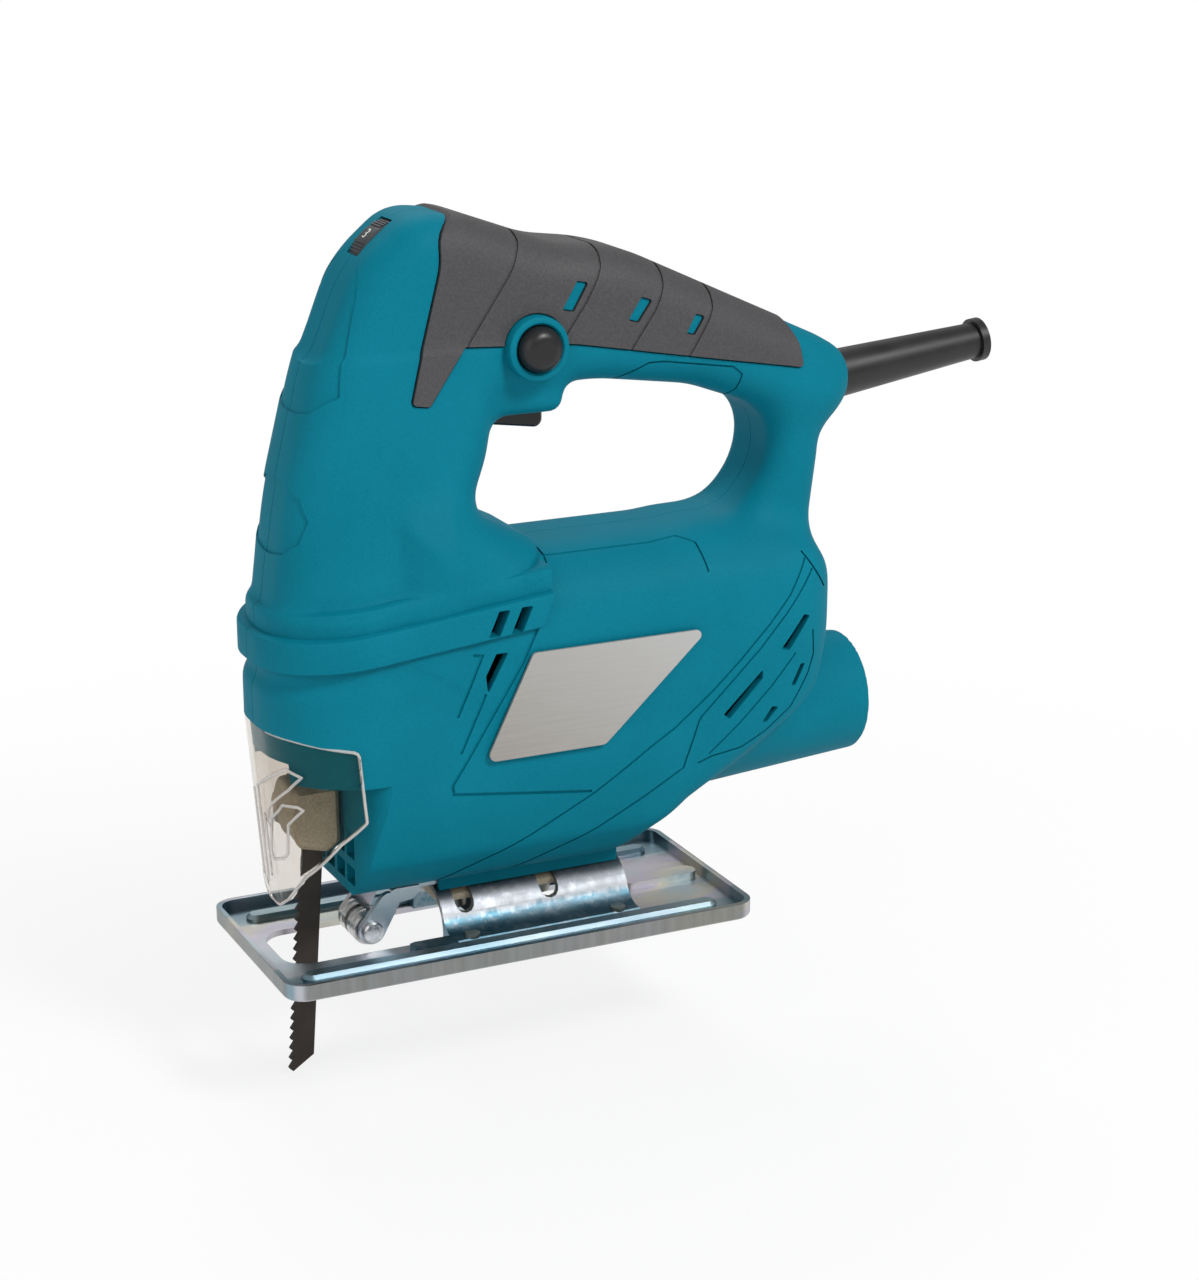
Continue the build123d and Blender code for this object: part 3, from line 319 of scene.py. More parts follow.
def outlinePoints(corners):
    points = []
    for i, (x, z, radius) in enumerate(corners):
        here = np.array((x, z), float)
        before = np.array(corners[i - 1][:2], float) - here
        after = np.array(corners[(i + 1) % len(corners)][:2], float) - here
        before /= np.linalg.norm(before)
        after /= np.linalg.norm(after)
        if radius == 0:
            points.append(here)
            continue
        half = math.acos(max(-1, min(1, before @ after))) / 2
        middle = (before + after) / np.linalg.norm(before + after)
        centre = here + middle * radius / math.sin(half)
        start = here + before * radius / math.tan(half) - centre
        end = here + after * radius / math.tan(half) - centre
        first = math.atan2(start[1], start[0])
        turn = math.remainder(math.atan2(end[1], end[0]) - first, 2 * math.pi)
        steps = max(2, int(abs(turn) * radius / 2.0) + 1)
        for angle in first + turn * np.linspace(0, 1, steps + 1):
            points.append(centre + radius * np.array((math.cos(angle), math.sin(angle))))
    return np.array(points)


def outlineField(points, u, v):
    best, inside = None, None
    for (au, av), (bu, bv) in zip(points, np.roll(points, -1, axis=0)):
        eu, ev = bu - au, bv - av
        length = eu * eu + ev * ev
        if length < 1e-9:
            continue
        du, dv = u - au, v - av
        along = np.clip((du * eu + dv * ev) / length, 0, 1)
        far = (du - along * eu) ** 2 + (dv - along * ev) ** 2
        best = far if best is None else np.minimum(best, far)
        crosses = ((v >= av) != (v >= bv)) & ((du * ev - dv * eu < 0) == (ev > 0))
        inside = crosses if inside is None else inside ^ crosses
    return np.sqrt(best) * np.where(inside, -1.0, 1.0)


def boxField(u, v, front, rear, half, frontRound, rearRound):
    middle = u - (front + rear) / 2
    radius = np.where(middle < 0, frontRound, rearRound)
    return roundedMeet(np.abs(middle) - (rear - front) / 2, np.abs(v) - half, radius)


def roundedMeet(a, b, radius):
    a, b = a + radius, b + radius
    return np.minimum(np.maximum(a, b), 0) + np.hypot(np.maximum(a, 0), np.maximum(b, 0)) - radius


def softMin(a, b, reach):
    share = np.maximum(reach - np.abs(a - b), 0) / reach
    return np.minimum(a, b) - share * share * reach / 4


def softMax(a, b, reach):
    return -softMin(-a, -b, reach)


form = shellForm
handlePoints = outlinePoints(form["handle"])
postPoints = outlinePoints(form["post"])
sectionPoints = outlinePoints(form["section"] + [(-y, z, r) for y, z, r in reversed(form["section"])])
sidePoints = outlinePoints(form["side"])
shoulderPoints = outlinePoints(form["shoulder"])


def shellField(x, y, z):
    def slab(points, name):
        return roundedMeet(outlineField(points, x, z), np.abs(y) - form[name + "Half"], form[name + "Round"])
    handle, post = slab(handlePoints, "handle"), slab(postPoints, "post")
    motor = softMax(outlineField(sectionPoints, y, z), outlineField(sidePoints, x, z), 6)
    motor = softMax(motor, boxField(x, y, *form["plan"]), 5)
    top = (z - form["headTop"] - (x - form["nose"]) * slopeRise) * math.cos(math.radians(form["slope"]))
    head = roundedMeet(boxField(x, y, *form["head"]), top, form["headRound"])
    head = np.maximum(head, form["headLow"] + (x - form["nose"]) * slopeRise - z)
    low, high = np.array(form["neckLow"]), np.array(form["neckHigh"])
    share = np.clip((z - low[0]) / (high[0] - low[0]), 0, 1.1)
    sizes = [low[i] + (high[i] - low[i]) * share for i in range(1, 6)]
    neck = np.maximum(boxField(x, y, *sizes), np.maximum(z - high[0] - 4, low[0] - 4 - z))
    (x0, x1), (y0, y1), (z0, z1), edge = form["hood"]
    hood = [np.abs(p - (a + b) / 2) - (b - a) / 2 + edge
            for p, a, b in ((x, x0, x1), (y, y0, y1), (z, z0, z1))]
    outside = np.sqrt(sum(np.maximum(h, 0) ** 2 for h in hood))
    hood = outside + np.minimum(np.maximum(np.maximum(hood[0], hood[1]), hood[2]), 0) - edge
    (p0, p1), (r0, r1) = form["portSpan"], form["portRadii"]
    port = np.hypot(y, z - form["portZ"]) - (r0 + (r1 - r0) * (x - p0) / (p1 - p0))
    port = roundedMeet(port, np.abs(x - (p0 + p1) / 2) - (p1 - p0) / 2, 0.8)
    whole = softMin(softMin(motor, head, 1.0), slab(shoulderPoints, "shoulder"), 1.5)
    whole = softMin(whole, neck, 2.0 + 11 * np.clip((x + 34) / 16, 0, 1))  # wide blend at the shoulder only
    whole = softMin(whole, handle, 5)
    whole = softMin(whole, post, 9)
    whole = softMin(whole, port, 6)
    return softMin(whole, hood, 5)


def surfaceMesh(field, box, step, settle=2):
    axes = [np.arange(low, high + step, step) for low, high in box]
    x, y, z = (axes[0][:, None, None], axes[1][None, :, None], axes[2][None, None, :])
    values = np.broadcast_to(field(x, y, z), [len(a) for a in axes]).copy()
    values[[0, -1]] = np.maximum(values[[0, -1]], step)
    values[:, [0, -1]] = np.maximum(values[:, [0, -1]], step)
    values[:, :, [0, -1]] = np.maximum(values[:, :, [0, -1]], step)
    inside = values < 0
    shape = np.array(values.shape) - 1
    total = np.zeros((*shape, 3))
    count = np.zeros(shape)
    for axis in range(3):
        others = [i for i in range(3) if i != axis]
        for shift in ((0, 0), (0, 1), (1, 0), (1, 1)):
            start = [slice(0, -1)] * 3
            for other, s in zip(others, shift):
                start[other] = slice(s, s + shape[other])
            end = list(start)
            end[axis] = slice(1, None)
            a, b = values[tuple(start)], values[tuple(end)]
            crossed = (a < 0) != (b < 0)
            total[..., axis] += np.where(crossed, a / np.where(crossed, a - b, 1), 0)
            for other, s in zip(others, shift):
                total[..., other] += np.where(crossed, s, 0)
            count += crossed
    used = count > 0
    number = np.full(shape, -1)
    number[used] = np.arange(used.sum())
    cells = np.argwhere(used)
    points = (cells + total[used] / count[used][:, None]) * step + np.array([a[0] for a in axes])
    quads = []
    for axis in range(3):
        u, v = [i for i in range(3) if i != axis]
        a = np.moveaxis(inside, axis, 0)
        change = a[:-1] != a[1:]
        change[:, 0] = change[:, -1] = False
        change[:, :, 0] = change[:, :, -1] = False
        place = np.argwhere(change)
        flip = a[:-1][change]
        index = np.empty_like(place)
        index[:, axis], index[:, u], index[:, v] = place[:, 0], place[:, 1], place[:, 2]
        corner = []
        for du, dv in ((1, 1), (0, 1), (0, 0), (1, 0)):
            cell = index.copy()
            cell[:, u] -= du
            cell[:, v] -= dv
            corner.append(number[cell[:, 0], cell[:, 1], cell[:, 2]])
        quad = np.stack(corner, 1)
        wrong = flip if axis == 1 else ~flip
        quad[wrong] = quad[wrong][:, ::-1]
        quads.append(quad)
    for _ in range(settle):
        away = field(*points.T)
        points = points - slopeOf(field, points) * np.where(np.abs(away) < step, away, 0)[:, None]
    return points, np.concatenate(quads)


def slopeOf(field, points, reach=0.05):
    here = field(*points.T)
    slope = np.stack([field(*(points + step).T) - here for step in reach * np.eye(3)], 1)
    return slope / np.maximum(np.linalg.norm(slope, axis=1), 1e-9)[:, None]


def newObject(name, points, faces):
    mesh = bpy.data.meshes.new(name)
    mesh.from_pydata([tuple(p) for p in points], [], [tuple(int(i) for i in f) for f in faces])
    mesh.validate()
    made = bpy.data.objects.new(name, mesh)
    scene.collection.objects.link(made)
    return made


axisPlaces = {"x": lambda a, b, c: (c, a, b), "y": lambda a, b, c: (a, c, b), "z": lambda a, b, c: (a, b, c)}


def layered(layers):
    # closed solid through rings that have the same number of points
    count, rows = len(layers[0]), len(layers)
    ring, last = range(count), (rows - 1) * count
    faces = [list(ring), [last + i for i in ring]]
    for k in range(0, last, count):
        faces += [[k + i, k + (i + 1) % count, k + count + (i + 1) % count, k + count + i] for i in ring]
    made = newObject("tool", [point for layer in layers for point in layer], faces)
    outward(made)
    return made


def extruded(outline, low, high, axis="y"):
    # the outline is (x, z) for axis y, (x, y) for axis z and (y, z) for axis x
    return layered([[axisPlaces[axis](a, b, c) for a, b in outline] for c in (low, high)])


def turned(profile, centre, axis="y", count=96):
    # the profile is (radius, along)
    return layered([[axisPlaces[axis](a, b, along) for a, b in circle(*centre, radius, count)]
                    for radius, along in profile])


def boxTool(x0, x1, y0, y1, z0, z1):
    return extruded([(x0, z0), (x1, z0), (x1, z1), (x0, z1)], y0, y1)


def outward(piece, gap=0.0):
    # welds points within the gap, and turns every face outwards
    bm = bmesh.new()
    bm.from_mesh(piece.data)
    if gap:
        bmesh.ops.remove_doubles(bm, verts=bm.verts, dist=gap)
    bmesh.ops.recalc_face_normals(bm, faces=bm.faces)
    bm.to_mesh(piece.data)
    bm.free()


def circle(u, v, radius, count=72):
    return [(u + radius * math.cos(2 * math.pi * i / count), v + radius * math.sin(2 * math.pi * i / count))
            for i in range(count)]


def arc(u, v, radius, start, end, count):
    return [(u + radius * math.cos(a), v + radius * math.sin(a)) for a in np.linspace(start, end, count)]


def band(path, width):
    # outline of a strip of that width along an open path
    path = [np.array(p, float) for p in path]
    left, right = [], []
    for i, here in enumerate(path):
        before = here - path[i - 1] if i else path[1] - here
        after = path[i + 1] - here if i < len(path) - 1 else before
        before, after = before / np.linalg.norm(before), after / np.linalg.norm(after)
        side = np.array((-before[1] - after[1], before[0] + after[0]))
        side *= width / 2 / max(0.4, 1 + before @ after)
        left.append(here + side)
        right.append(here - side)
    return [tuple(p) for p in left + right[::-1]]


def evaluated(piece):
    bpy.context.view_layer.update()
    return bpy.data.meshes.new_from_object(piece.evaluated_get(bpy.context.evaluated_depsgraph_get()))


def settled(piece):
    # works the piece's modifiers into a plain mesh
    mesh = evaluated(piece)
    piece.modifiers.clear()
    old, piece.data = piece.data, mesh
    bpy.data.meshes.remove(old)
    return piece


def combine(target, tool, operation):
    modifier = target.modifiers.new("cut", "BOOLEAN")
    modifier.operation = operation
    modifier.solver = "MANIFOLD"
    modifier.object = tool
    settled(target)
    bpy.data.meshes.remove(tool.data)
    return target


def cut(target, tool):
    return combine(target, tool, "DIFFERENCE")


def join(target, tool):
    return combine(target, tool, "UNION")


# lines, recesses and openings of the left half; paths are (x, z), or (x, y) for the lines on top
shellCuts = {
    "parting": 0.12, "skin": 2.5, "lineDepth": 0.55, "topLineWidth": 0.6,
    "panelLines": [
        ([(9.9, 114), (11.2, 108), (9.7, 102.5), (5.9, 94.7), (0.1, 82.8), (-20.4, 51.2), (-19.7, 48.7),
          (20.9, 43.0)], 0.9),
        ([(-30, 14), (-13.0, 23.3), (4.8, 32.6), (21.9, 42.4), (38.3, 53.7), (45, 57.8), (56.6, 66.8),
          (65.2, 74.6), (74.3, 83.8), (80.4, 91.1), (86.5, 100.5)], 0.6),
        ([(-4, 16), (9.4, 23.1), (24.1, 30.7), (38.0, 38.9), (48.5, 45.6), (49.2, 48.5), (52.6, 59.0),
          (53.6, 60.3), (63.3, 69.4), (71.4, 77.1), (79.0, 85.6), (88.3, 97.2)], 0.6),
        ([(85.8, 102), (93.2, 91.2)], 0.6),
        ([(52.8, 46.3), (57.2, 47.8), (66.3, 49.1), (73.5, 52.7), (81.3, 58.9), (86.9, 67.8), (88.9, 72.9),
          (88.5, 80)], 0.5),
        ([(56.1, 48.6), (65.1, 56.3), (74.8, 65.5), (82.5, 74.3)], 0.45),
        ([(-13.8, 86.5), (-11.4, 86.1), (-18.7, 70.3)], 0.8),
        ([(34.5, 152.2), (36.5, 153.6), (42.5, 157.0), (46.9, 157.0), (67.6, 153.8), (70.4, 151.5),
          (69.9, 147.0), (68, 144)], 0.5),
        ([(-10.6, 75.5), (-17.9, 60.0)], 0.8),
    ],
    "topLines": [[(10, -16.4), (42.3, -16.5), (51, -15.2), (55.5, -18.5), (56.5, -26)]],
    "insets": [  # (y, z) outlines on the front of the neck, with their depths
        ([(-5.0, 190), (-10.9, 184.5), (-12.9, 179.7), (-14.2, 171.3), (-16.4, 155.6), (-11.0, 151.1),
          (-4.1, 150.0)], 0.9),
        ([(-2.5, 132.6), (-8.0, 132.2), (-13.4, 129.6), (-15.8, 124.2), (-14.6, 118.3), (-10.2, 114.8),
          (-2.5, 113.6)], 0.8)],
    "insetFade": (190, 28, 0.03),  # height at which the depth runs out, over this height, to this share
    "label": [(2.6, 85.5), (54.5, 85.5), (23.5, 57), (-11.5, 57)], "labelDepth": 0.42, "labelGap": 0.25,
    "labelFace": -29,
    "grip": [(6, 212, 1), (-17.0, 194.6, 6), (-16.9, 187, 20), (-26, 152.3, 0.8), (-21.3, 151.6, 0.8),
             (-11, 166, 1.5), (20, 164.3, 60), (60, 157, 60), (88.6, 152, 0.8), (88.2, 158.5, 6),
             (85, 166, 6), (60, 212, 1)],
    "gripGap": 0.45, "gripDepth": 1.25, "gripProud": 0.7,
    "windows": [[(20.9, 180.7), (24.2, 180.0), (19.9, 172.6), (16.5, 173.3)],
                [(39.5, 175.1), (42.8, 174.0), (38.7, 168.2), (35.6, 169.1)],
                [(55.7, 169.3), (58.5, 168.4), (55.3, 163.5), (52.8, 164.2)]],
    "windowGap": 0.3,
    "vents": [[(-7.2, 98.2), (-4.0, 98.2), (-7.1, 91.3), (-10.3, 91.3)],
              [(-0.7, 98.5), (2.5, 98.5), (-0.6, 91.6), (-3.8, 91.6)],
              [(-7.5, 86.2), (-4.0, 86.2), (-10.0, 75.4), (-10.5, 80.4)],
              [(60.2, 59.6), (62.0, 58.0), (72.2, 68.3), (72.3, 71.0)],
              [(77.9, 76.0), (80.5, 75.4), (87.2, 84.3), (85.2, 85.0)],
              [(81.2, 64.9), (82.6, 64.9), (85.9, 70.9), (84.3, 70.8)],
              [(72.2, 55.5), (73.8, 55.5), (77.4, 59.4), (75.4, 59.8)]],
    "bands": [(84.8, 93.6, 0.9, 1.0), (89.6, 100.0, -1.3, 1.4)],  # low, high, proud and edge round the nose
    "bandPlan": (9.0, 28.6, 26.0),  # rear, half width and front radius
    "bandEnd": [(2.6, 79), (5.6, 93), (9.4, 102.5), (10.6, 108), (9, 120), (40, 120), (40, 79)],
    "screws": [(-34, 156, 10), (-20, 124, 11), (52, 156, 11), (89.5, 121, 9), (90, 94, 16), (60, 44.5, 17),
               (-34, 48, 17), (-2, 101, 16)],
    "wellRadius": 3.5, "postRadius": 5.2,
    "lock": (9, 164.2, 6.4, 8.6, -20.5), "dial": (-23.2, 186.0, 11.6, 3.9),
    "chinVents": [(-14.5, -8.5, 22, 27), (-7, -1, 22, 27), (-14.5, -8.5, 29.5, 37), (-7, -1, 29.5, 37)],
    "chin": (-31.5, -17, 12, 54),  # centre, radius and top of the rounded chin behind the shield
    "holderRoom": (-90, -43.5, -14, 14, 0, 59.5), "triggerRoom": (-1.8, 16.6, -5.8, 5.8, 130, 157),
    "stripRoom": (-90, 4.5, -5.1, 5.1, 0, 16.9), "rodHole": (-50, 0, 5), "portBore": (15, 15.8, 71.2, 113),
    "saddle": (-16, 38, 6.2, 9.0, 24), "archSeat": (0, 2, 12.8),
    "saddleBlock": (-16, 40, 21.5), "portBlock": (68.5, 17.5), "noseBlocks": [(-40, 62.5), (-29, 57)],
    "cordHole": (7.12, 105, 144.6, math.tan(math.radians(7))),  # radius, a point on the axis and its rise
}


def grown(outline, gap):
    # outline moved outwards by the gap, corners mitred
    points = [np.array(p, float) for p in outline]
    area = sum(a[0] * b[1] - b[0] * a[1] for a, b in zip(points, points[1:] + points[:1]))
    turn = 1 if area > 0 else -1
    made = []
    for i, here in enumerate(points):
        before, after = here - points[i - 1], points[(i + 1) % len(points)] - here
        before, after = before / np.linalg.norm(before), after / np.linalg.norm(after)
        side = turn * np.array((before[1] + after[1], -before[0] - after[0]))
        made.append(tuple(here + side * gap / max(0.3, 1 + before @ after)))
    return made


def roundedOutline(outline, radius):
    return outlinePoints([(a, b, radius) for a, b in outline])


def moved(depth):
    # the shell's surface, moved inwards
    return newObject("inset", shellPoints - shellSlopes * depth, shellQuads)


def cavityField(x, y, z):
    # hollow of the shell, less what stays solid: nose, port, saddle and screw posts
    (low, high, top), (portFront, portRadius) = shellCuts["saddleBlock"], shellCuts["portBlock"]
    block = np.maximum(np.maximum(z - top, x - high), low - x)
    block = np.minimum(block, np.maximum(portFront - x, np.hypot(y, z - form["portZ"]) - portRadius))
    for rear, top in shellCuts["noseBlocks"]:
        block = np.minimum(block, np.maximum(x - rear, z - top))
    for sx, sz, _ in shellCuts["screws"]:
        block = np.minimum(block, np.hypot(x - sx, z - sz) - shellCuts["postRadius"])
    return np.maximum(shellField(x, y, z) + shellCuts["skin"], -block)


def slopedRing(low, high, proud, edge):
    # slab with the nose's plan, its faces rising to the rear; the top edge is rounded
    nose, (rear, half, frontRound) = form["nose"], shellCuts["bandPlan"]
    layers = []
    steps = [(low, 0.3), (low + 0.3, 0), (high - edge, 0), (high - edge * 0.4, edge * 0.2), (high, edge)]
    for z, inset in steps:
        grow = proud - inset
        corners = [(nose - grow, -half - grow, frontRound), (rear, -half - grow, 0.4), (rear, 8, 0),
                   (nose - grow, 8, 0)]
        layers.append([(x, y, z + (x - nose) * slopeRise) for x, y in outlinePoints(corners)])
    return cut(layered(layers), extruded(shellCuts["bandEnd"], -60, 20))


def copyOf(piece, name):
    made = bpy.data.objects.new(name, piece.data.copy())
    scene.collection.objects.link(made)
    return made


def finished(piece, body, slot, *replaced, sharp=32):
    mesh = piece.data
    mesh.transform(Matrix.Scale(0.001, 4))
    mesh.materials.clear()
    mesh.materials.append(finishes[slot])
    mesh.shade_smooth()
    mesh.set_sharp_from_angle(angle=math.radians(sharp))
    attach(piece, body)
    if replaced:
        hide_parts(*replaced)
    print("piece", piece.name, len(mesh.polygons), "faces")


shellPoints, shellQuads = surfaceMesh(shellField, form["box"], form["grid"])
shellSlopes = slopeOf(shellField, shellPoints)
cavityPoints, cavityQuads = surfaceMesh(cavityField, form["box"], 2.0, settle=0)
print("shell surface:", len(shellPoints), "points, cavity:", len(cavityPoints))


# plan, side and front outlines of the clear shield that is let into the nose
shieldForm = {
    "side": [(-80, 67.8, 0), (-61, 67.0, 30), (-46.4, 64.6, 1.5), (-44.6, 45.0, 1.0), (-51.0, 38.8, 6),
             (-58.6, 27.5, 6), (-59.6, 8, 0), (-80, 8, 0)],
    "face": [(60, 90, 0), (60, 60, 0), (15.6, 26.4, 10), (9.4, 19.6, 4), (4.0, 16.2, 5), (-4.0, 16.2, 5),
             (-9.4, 19.6, 4), (-15.6, 26.4, 10), (-60, 60, 0), (-60, 90, 0)],
    "round": 26, "flat": 3.05, "flush": 68.0, "lean": math.tan(math.radians(4.5)), "thick": 1.5,
    "frames": [[(2.8, 48.6), (-9.5, 55.4), (-14.7, 58.4), (-19.1, 57.0), (-14.8, 52.5), (-5.8, 45.4),
                (-3.7, 41.5)],
               [(-10.1, 45.3), (-12.1, 47.6), (-17.1, 48.3), (-18.6, 47.7), (-13.5, 42.4), (-12.1, 33.8),
                (-10.3, 32.0), (-4.6, 29.9), (-3.4, 32.0), (-6.2, 42.2), (-10.0, 45.2)]],
    "beadRadius": 0.42,
    "ribs": [(6.0, 22, 47), (2.2, 21, 49), (-1.2, 24, 42)],
    "clip": [(-48.6, 63.4, -46.2, 60.0), (-48.4, 58.8, -46.0, 56.0)], "clipProud": 0.5,
}


def planOutline(front, rear, half, frontRound, rearRound=0):
    return outlinePoints([(front, -half, frontRound), (rear, -half, rearRound), (rear, half, rearRound),
                          (front, half, frontRound)])


def shieldPlan(grow):
    radius = shieldForm["round"] + grow
    return planOutline(form["nose"] - grow, -20, radius + shieldForm["flat"], radius)


def leaning(plan):
    # plan pulled upwards, flush with the nose at the shield's upper edge and leaning back below it
    slab = extruded(plan, 0, 100, "z")
    for vertex in slab.data.vertices:
        vertex.co.x += (shieldForm["flush"] - vertex.co.z) * shieldForm["lean"]
    return slab


def shieldBlock():
    block = extruded(outlinePoints(shieldForm["side"]), -50, 50)
    return combine(block, extruded(outlinePoints(shieldForm["face"]), -100, -20, "x"), "INTERSECT")


def halfShell():
    half = newObject("housingShell", shellPoints, shellQuads)
    end, over, least = shellCuts["insetFade"]
    fade = np.clip((end - shellPoints[:, 2]) / over, least, 1)[:, None]
    for outline, depth in shellCuts["insets"]:
        region = [(20, outline[0][1])] + outline + [(20, outline[-1][1])]
        cut(half, extruded(roundedOutline(region, 1.0), -90, -30, "x"))
        join(half, moved(depth * fade))
    for line, wide in shellCuts["panelLines"]:
        cut(half, extruded(band(line, wide), -60, -8))
    for line in shellCuts["topLines"]:
        cut(half, extruded(band(line, shellCuts["topLineWidth"]), 100, 122, "z"))
    join(half, moved(shellCuts["lineDepth"]))
    recess = extruded(grown(outlinePoints(shellCuts["grip"]), shellCuts["gripGap"]), -60, 20)
    for window in shellCuts["windows"]:
        cut(recess, extruded(roundedOutline(grown(window, -shellCuts["windowGap"]), 0.3), -70, -8))
    cut(half, recess)
    join(half, moved(shellCuts["gripDepth"]))
    for sizes in shellCuts["bands"]:
        join(half, slopedRing(*sizes))
    cut(half, newObject("cavity", cavityPoints, cavityQuads))
    for vent in shellCuts["vents"]:
        cut(half, extruded(roundedOutline(vent, 0.3), -60, -16))
    for sizes in shellCuts["chinVents"]:
        cut(half, boxTool(-50, -40, *sizes))
    x, y, radius, top = shellCuts["chin"]
    curve = arc(x, y, radius, -math.pi / 2, -math.pi, 16)
    cut(half, extruded([(-80, -45), (x, -45)] + curve + [(x - radius, 12), (-80, 12)], 0, top, "z"))
    cut(half, boxTool(*shellCuts["holderRoom"]))
    cut(half, cut(shieldBlock(), leaning(shieldPlan(-shieldForm["thick"] - 0.1))))
    inner, outer, start, end = shellCuts["portBore"]
    cut(half, turned([(inner, start), (inner, end - 0.4), (outer, end + 0.4), (outer, end + 7)],
                     (0, form["portZ"]), "x"))
    cut(half, boxTool(*shellCuts["triggerRoom"]))
    x, z, radius, wide = shellCuts["dial"]
    cut(half, extruded(circle(x, z, radius), -wide, wide))
    cut(half, extruded(circle(*shellCuts["rodHole"], 48), 50, 75, "z"))
    front, rear, wide, low, high = shellCuts["saddle"]
    join(half, boxTool(front, rear, -wide, wide, low, high))
    cut(half, extruded(circle(*shellCuts["archSeat"]), -60, 60, "x"))
    cut(half, boxTool(*shellCuts["stripRoom"]))
    radius, x, z, rise = shellCuts["cordHole"]
    hole = turned([(radius, 90), (radius, 112)], (0, 0), "x")
    for vertex in hole.data.vertices:
        vertex.co.z += z + (vertex.co.x - x) * rise
    cut(half, hole)
    return cut(half, boxTool(-200, 200, -shellCuts["parting"], 60, -50, 300))


leftHalf = halfShell()
rightHalf = copyOf(leftHalf, "housingShellRight")
leftHalf.name = "housingShellLeft"
rightHalf.data.transform(Matrix.Scale(-1, 4, (0, 1, 0)))
rightHalf.data.flip_normals()
labelOutline = roundedOutline(grown(shellCuts["label"], shellCuts["labelGap"]), 1.5)
cut(leftHalf, extruded(labelOutline, -60, shellCuts["labelFace"] + shellCuts["labelDepth"]))
lockX, lockZ, lockHole, collar, collarFace = shellCuts["lock"]
join(leftHalf, turned([(collar, -9), (collar, collarFace + 0.9), (collar - 0.3, collarFace + 0.3),
                       (collar - 0.9, collarFace)], (lockX, lockZ)))
cut(leftHalf, turned([(lockHole, -6), (lockHole, collarFace + 0.5), (lockHole + 0.5, collarFace),
                      (lockHole + 0.5, -40)], (lockX, lockZ)))
for x, z, seat in shellCuts["screws"]:
    cut(rightHalf, turned([(shellCuts["wellRadius"], seat), (shellCuts["wellRadius"], 60)], (x, z), count=40))
finished(leftHalf, "housing", "shell", "housing_left")
finished(rightHalf, "housing", "shell", "housing_right")


# soft grip: a skin over the shell, let into its recess
gripForm = {"box": ((-32, 96), (-21, 21), (146, 206)), "grid": 0.9, "groove": 0.8, "grooveDepth": 0.45,
            "coreGap": 0.05, "lockGap": 0.4, "dialGap": 0.6,
            "grooves": [[(7, 205), (5.6, 191.5), (1.5, 183.5), (-9.8, 167), (-12, 163)],
                        [(29.4, 200), (28.9, 187), (28.1, 183.7), (23.6, 175.3), (17.7, 167.0), (14, 161)],
                        [(47.4, 195), (47.0, 180.5), (46.4, 177.4), (43.5, 171.3), (37.3, 162.4), (34, 157)],
                        [(62.2, 190), (61.8, 173.8), (61.2, 170.4), (58.4, 165.6), (54.9, 159.9), (51, 154)]]}


def gripSkin():
    proud, depth = shellCuts["gripProud"], shellCuts["gripDepth"]
    points, quads = surfaceMesh(lambda x, y, z: shellField(x, y, z) - proud,
                                gripForm["box"], gripForm["grid"])
    slopes = slopeOf(shellField, points)
    skin = newObject("gripSkin", points, quads)
    base = newObject("gripBase", points - slopes * gripForm["grooveDepth"], quads)
    core = newObject("gripCore", points - slopes * (proud + depth - gripForm["coreGap"]), quads)
    for path in gripForm["grooves"]:
        cut(skin, extruded(band(path, gripForm["groove"]), -60, 60))
    join(skin, base)
    combine(skin, extruded(outlinePoints(shellCuts["grip"]), -60, 60), "INTERSECT")
    cut(skin, core)
    for window in shellCuts["windows"]:
        cut(skin, extruded(roundedOutline(window, 0.5), -60, 60))
    around, gap = collar + gripForm["lockGap"], gripForm["dialGap"]
    cut(skin, turned([(around, -60), (around, 0)], (lockX, lockZ)))
    x, z, radius, wide = shellCuts["dial"]
    return cut(skin, extruded(circle(x, z, radius + gap), -wide - gap, wide + gap))


finished(gripSkin(), "housing", "soft_grip", "handle_grip", sharp=40)


# Geometry Nodes: beads along paths, and copies of a unit on points
def newTree(name, inputs):
    tree = bpy.data.node_groups.new(name, "GeometryNodeTree")
    tree.interface.new_socket("Geometry", in_out="INPUT", socket_type="NodeSocketGeometry")
    keys = {}
    for label, kind in inputs:
        socket = tree.interface.new_socket(label, in_out="INPUT", socket_type="NodeSocket" + kind)
        keys[label] = socket.identifier
    tree.interface.new_socket("Geometry", in_out="OUTPUT", socket_type="NodeSocketGeometry")
    return tree, keys


def addNode(tree, kind, settings=None, sockets=None):
    node = tree.nodes.new(kind)
    for key, value in (settings or {}).items():
        setattr(node, key, value)
    for key, value in (sockets or {}).items():
        if isinstance(value, bpy.types.NodeSocket):
            tree.links.new(value, node.inputs[key])
        else:
            node.inputs[key].default_value = value
    return node.outputs


def closeTree(tree, geometry, source):
    real = addNode(tree, "GeometryNodeRealizeInstances", None, {"Geometry": geometry})["Geometry"]
    sockets = {"Geometry": real, "Material": source["Material"]}
    painted = addNode(tree, "GeometryNodeSetMaterial", None, sockets)["Geometry"]
    addNode(tree, "NodeGroupOutput", None, {"Geometry": painted})


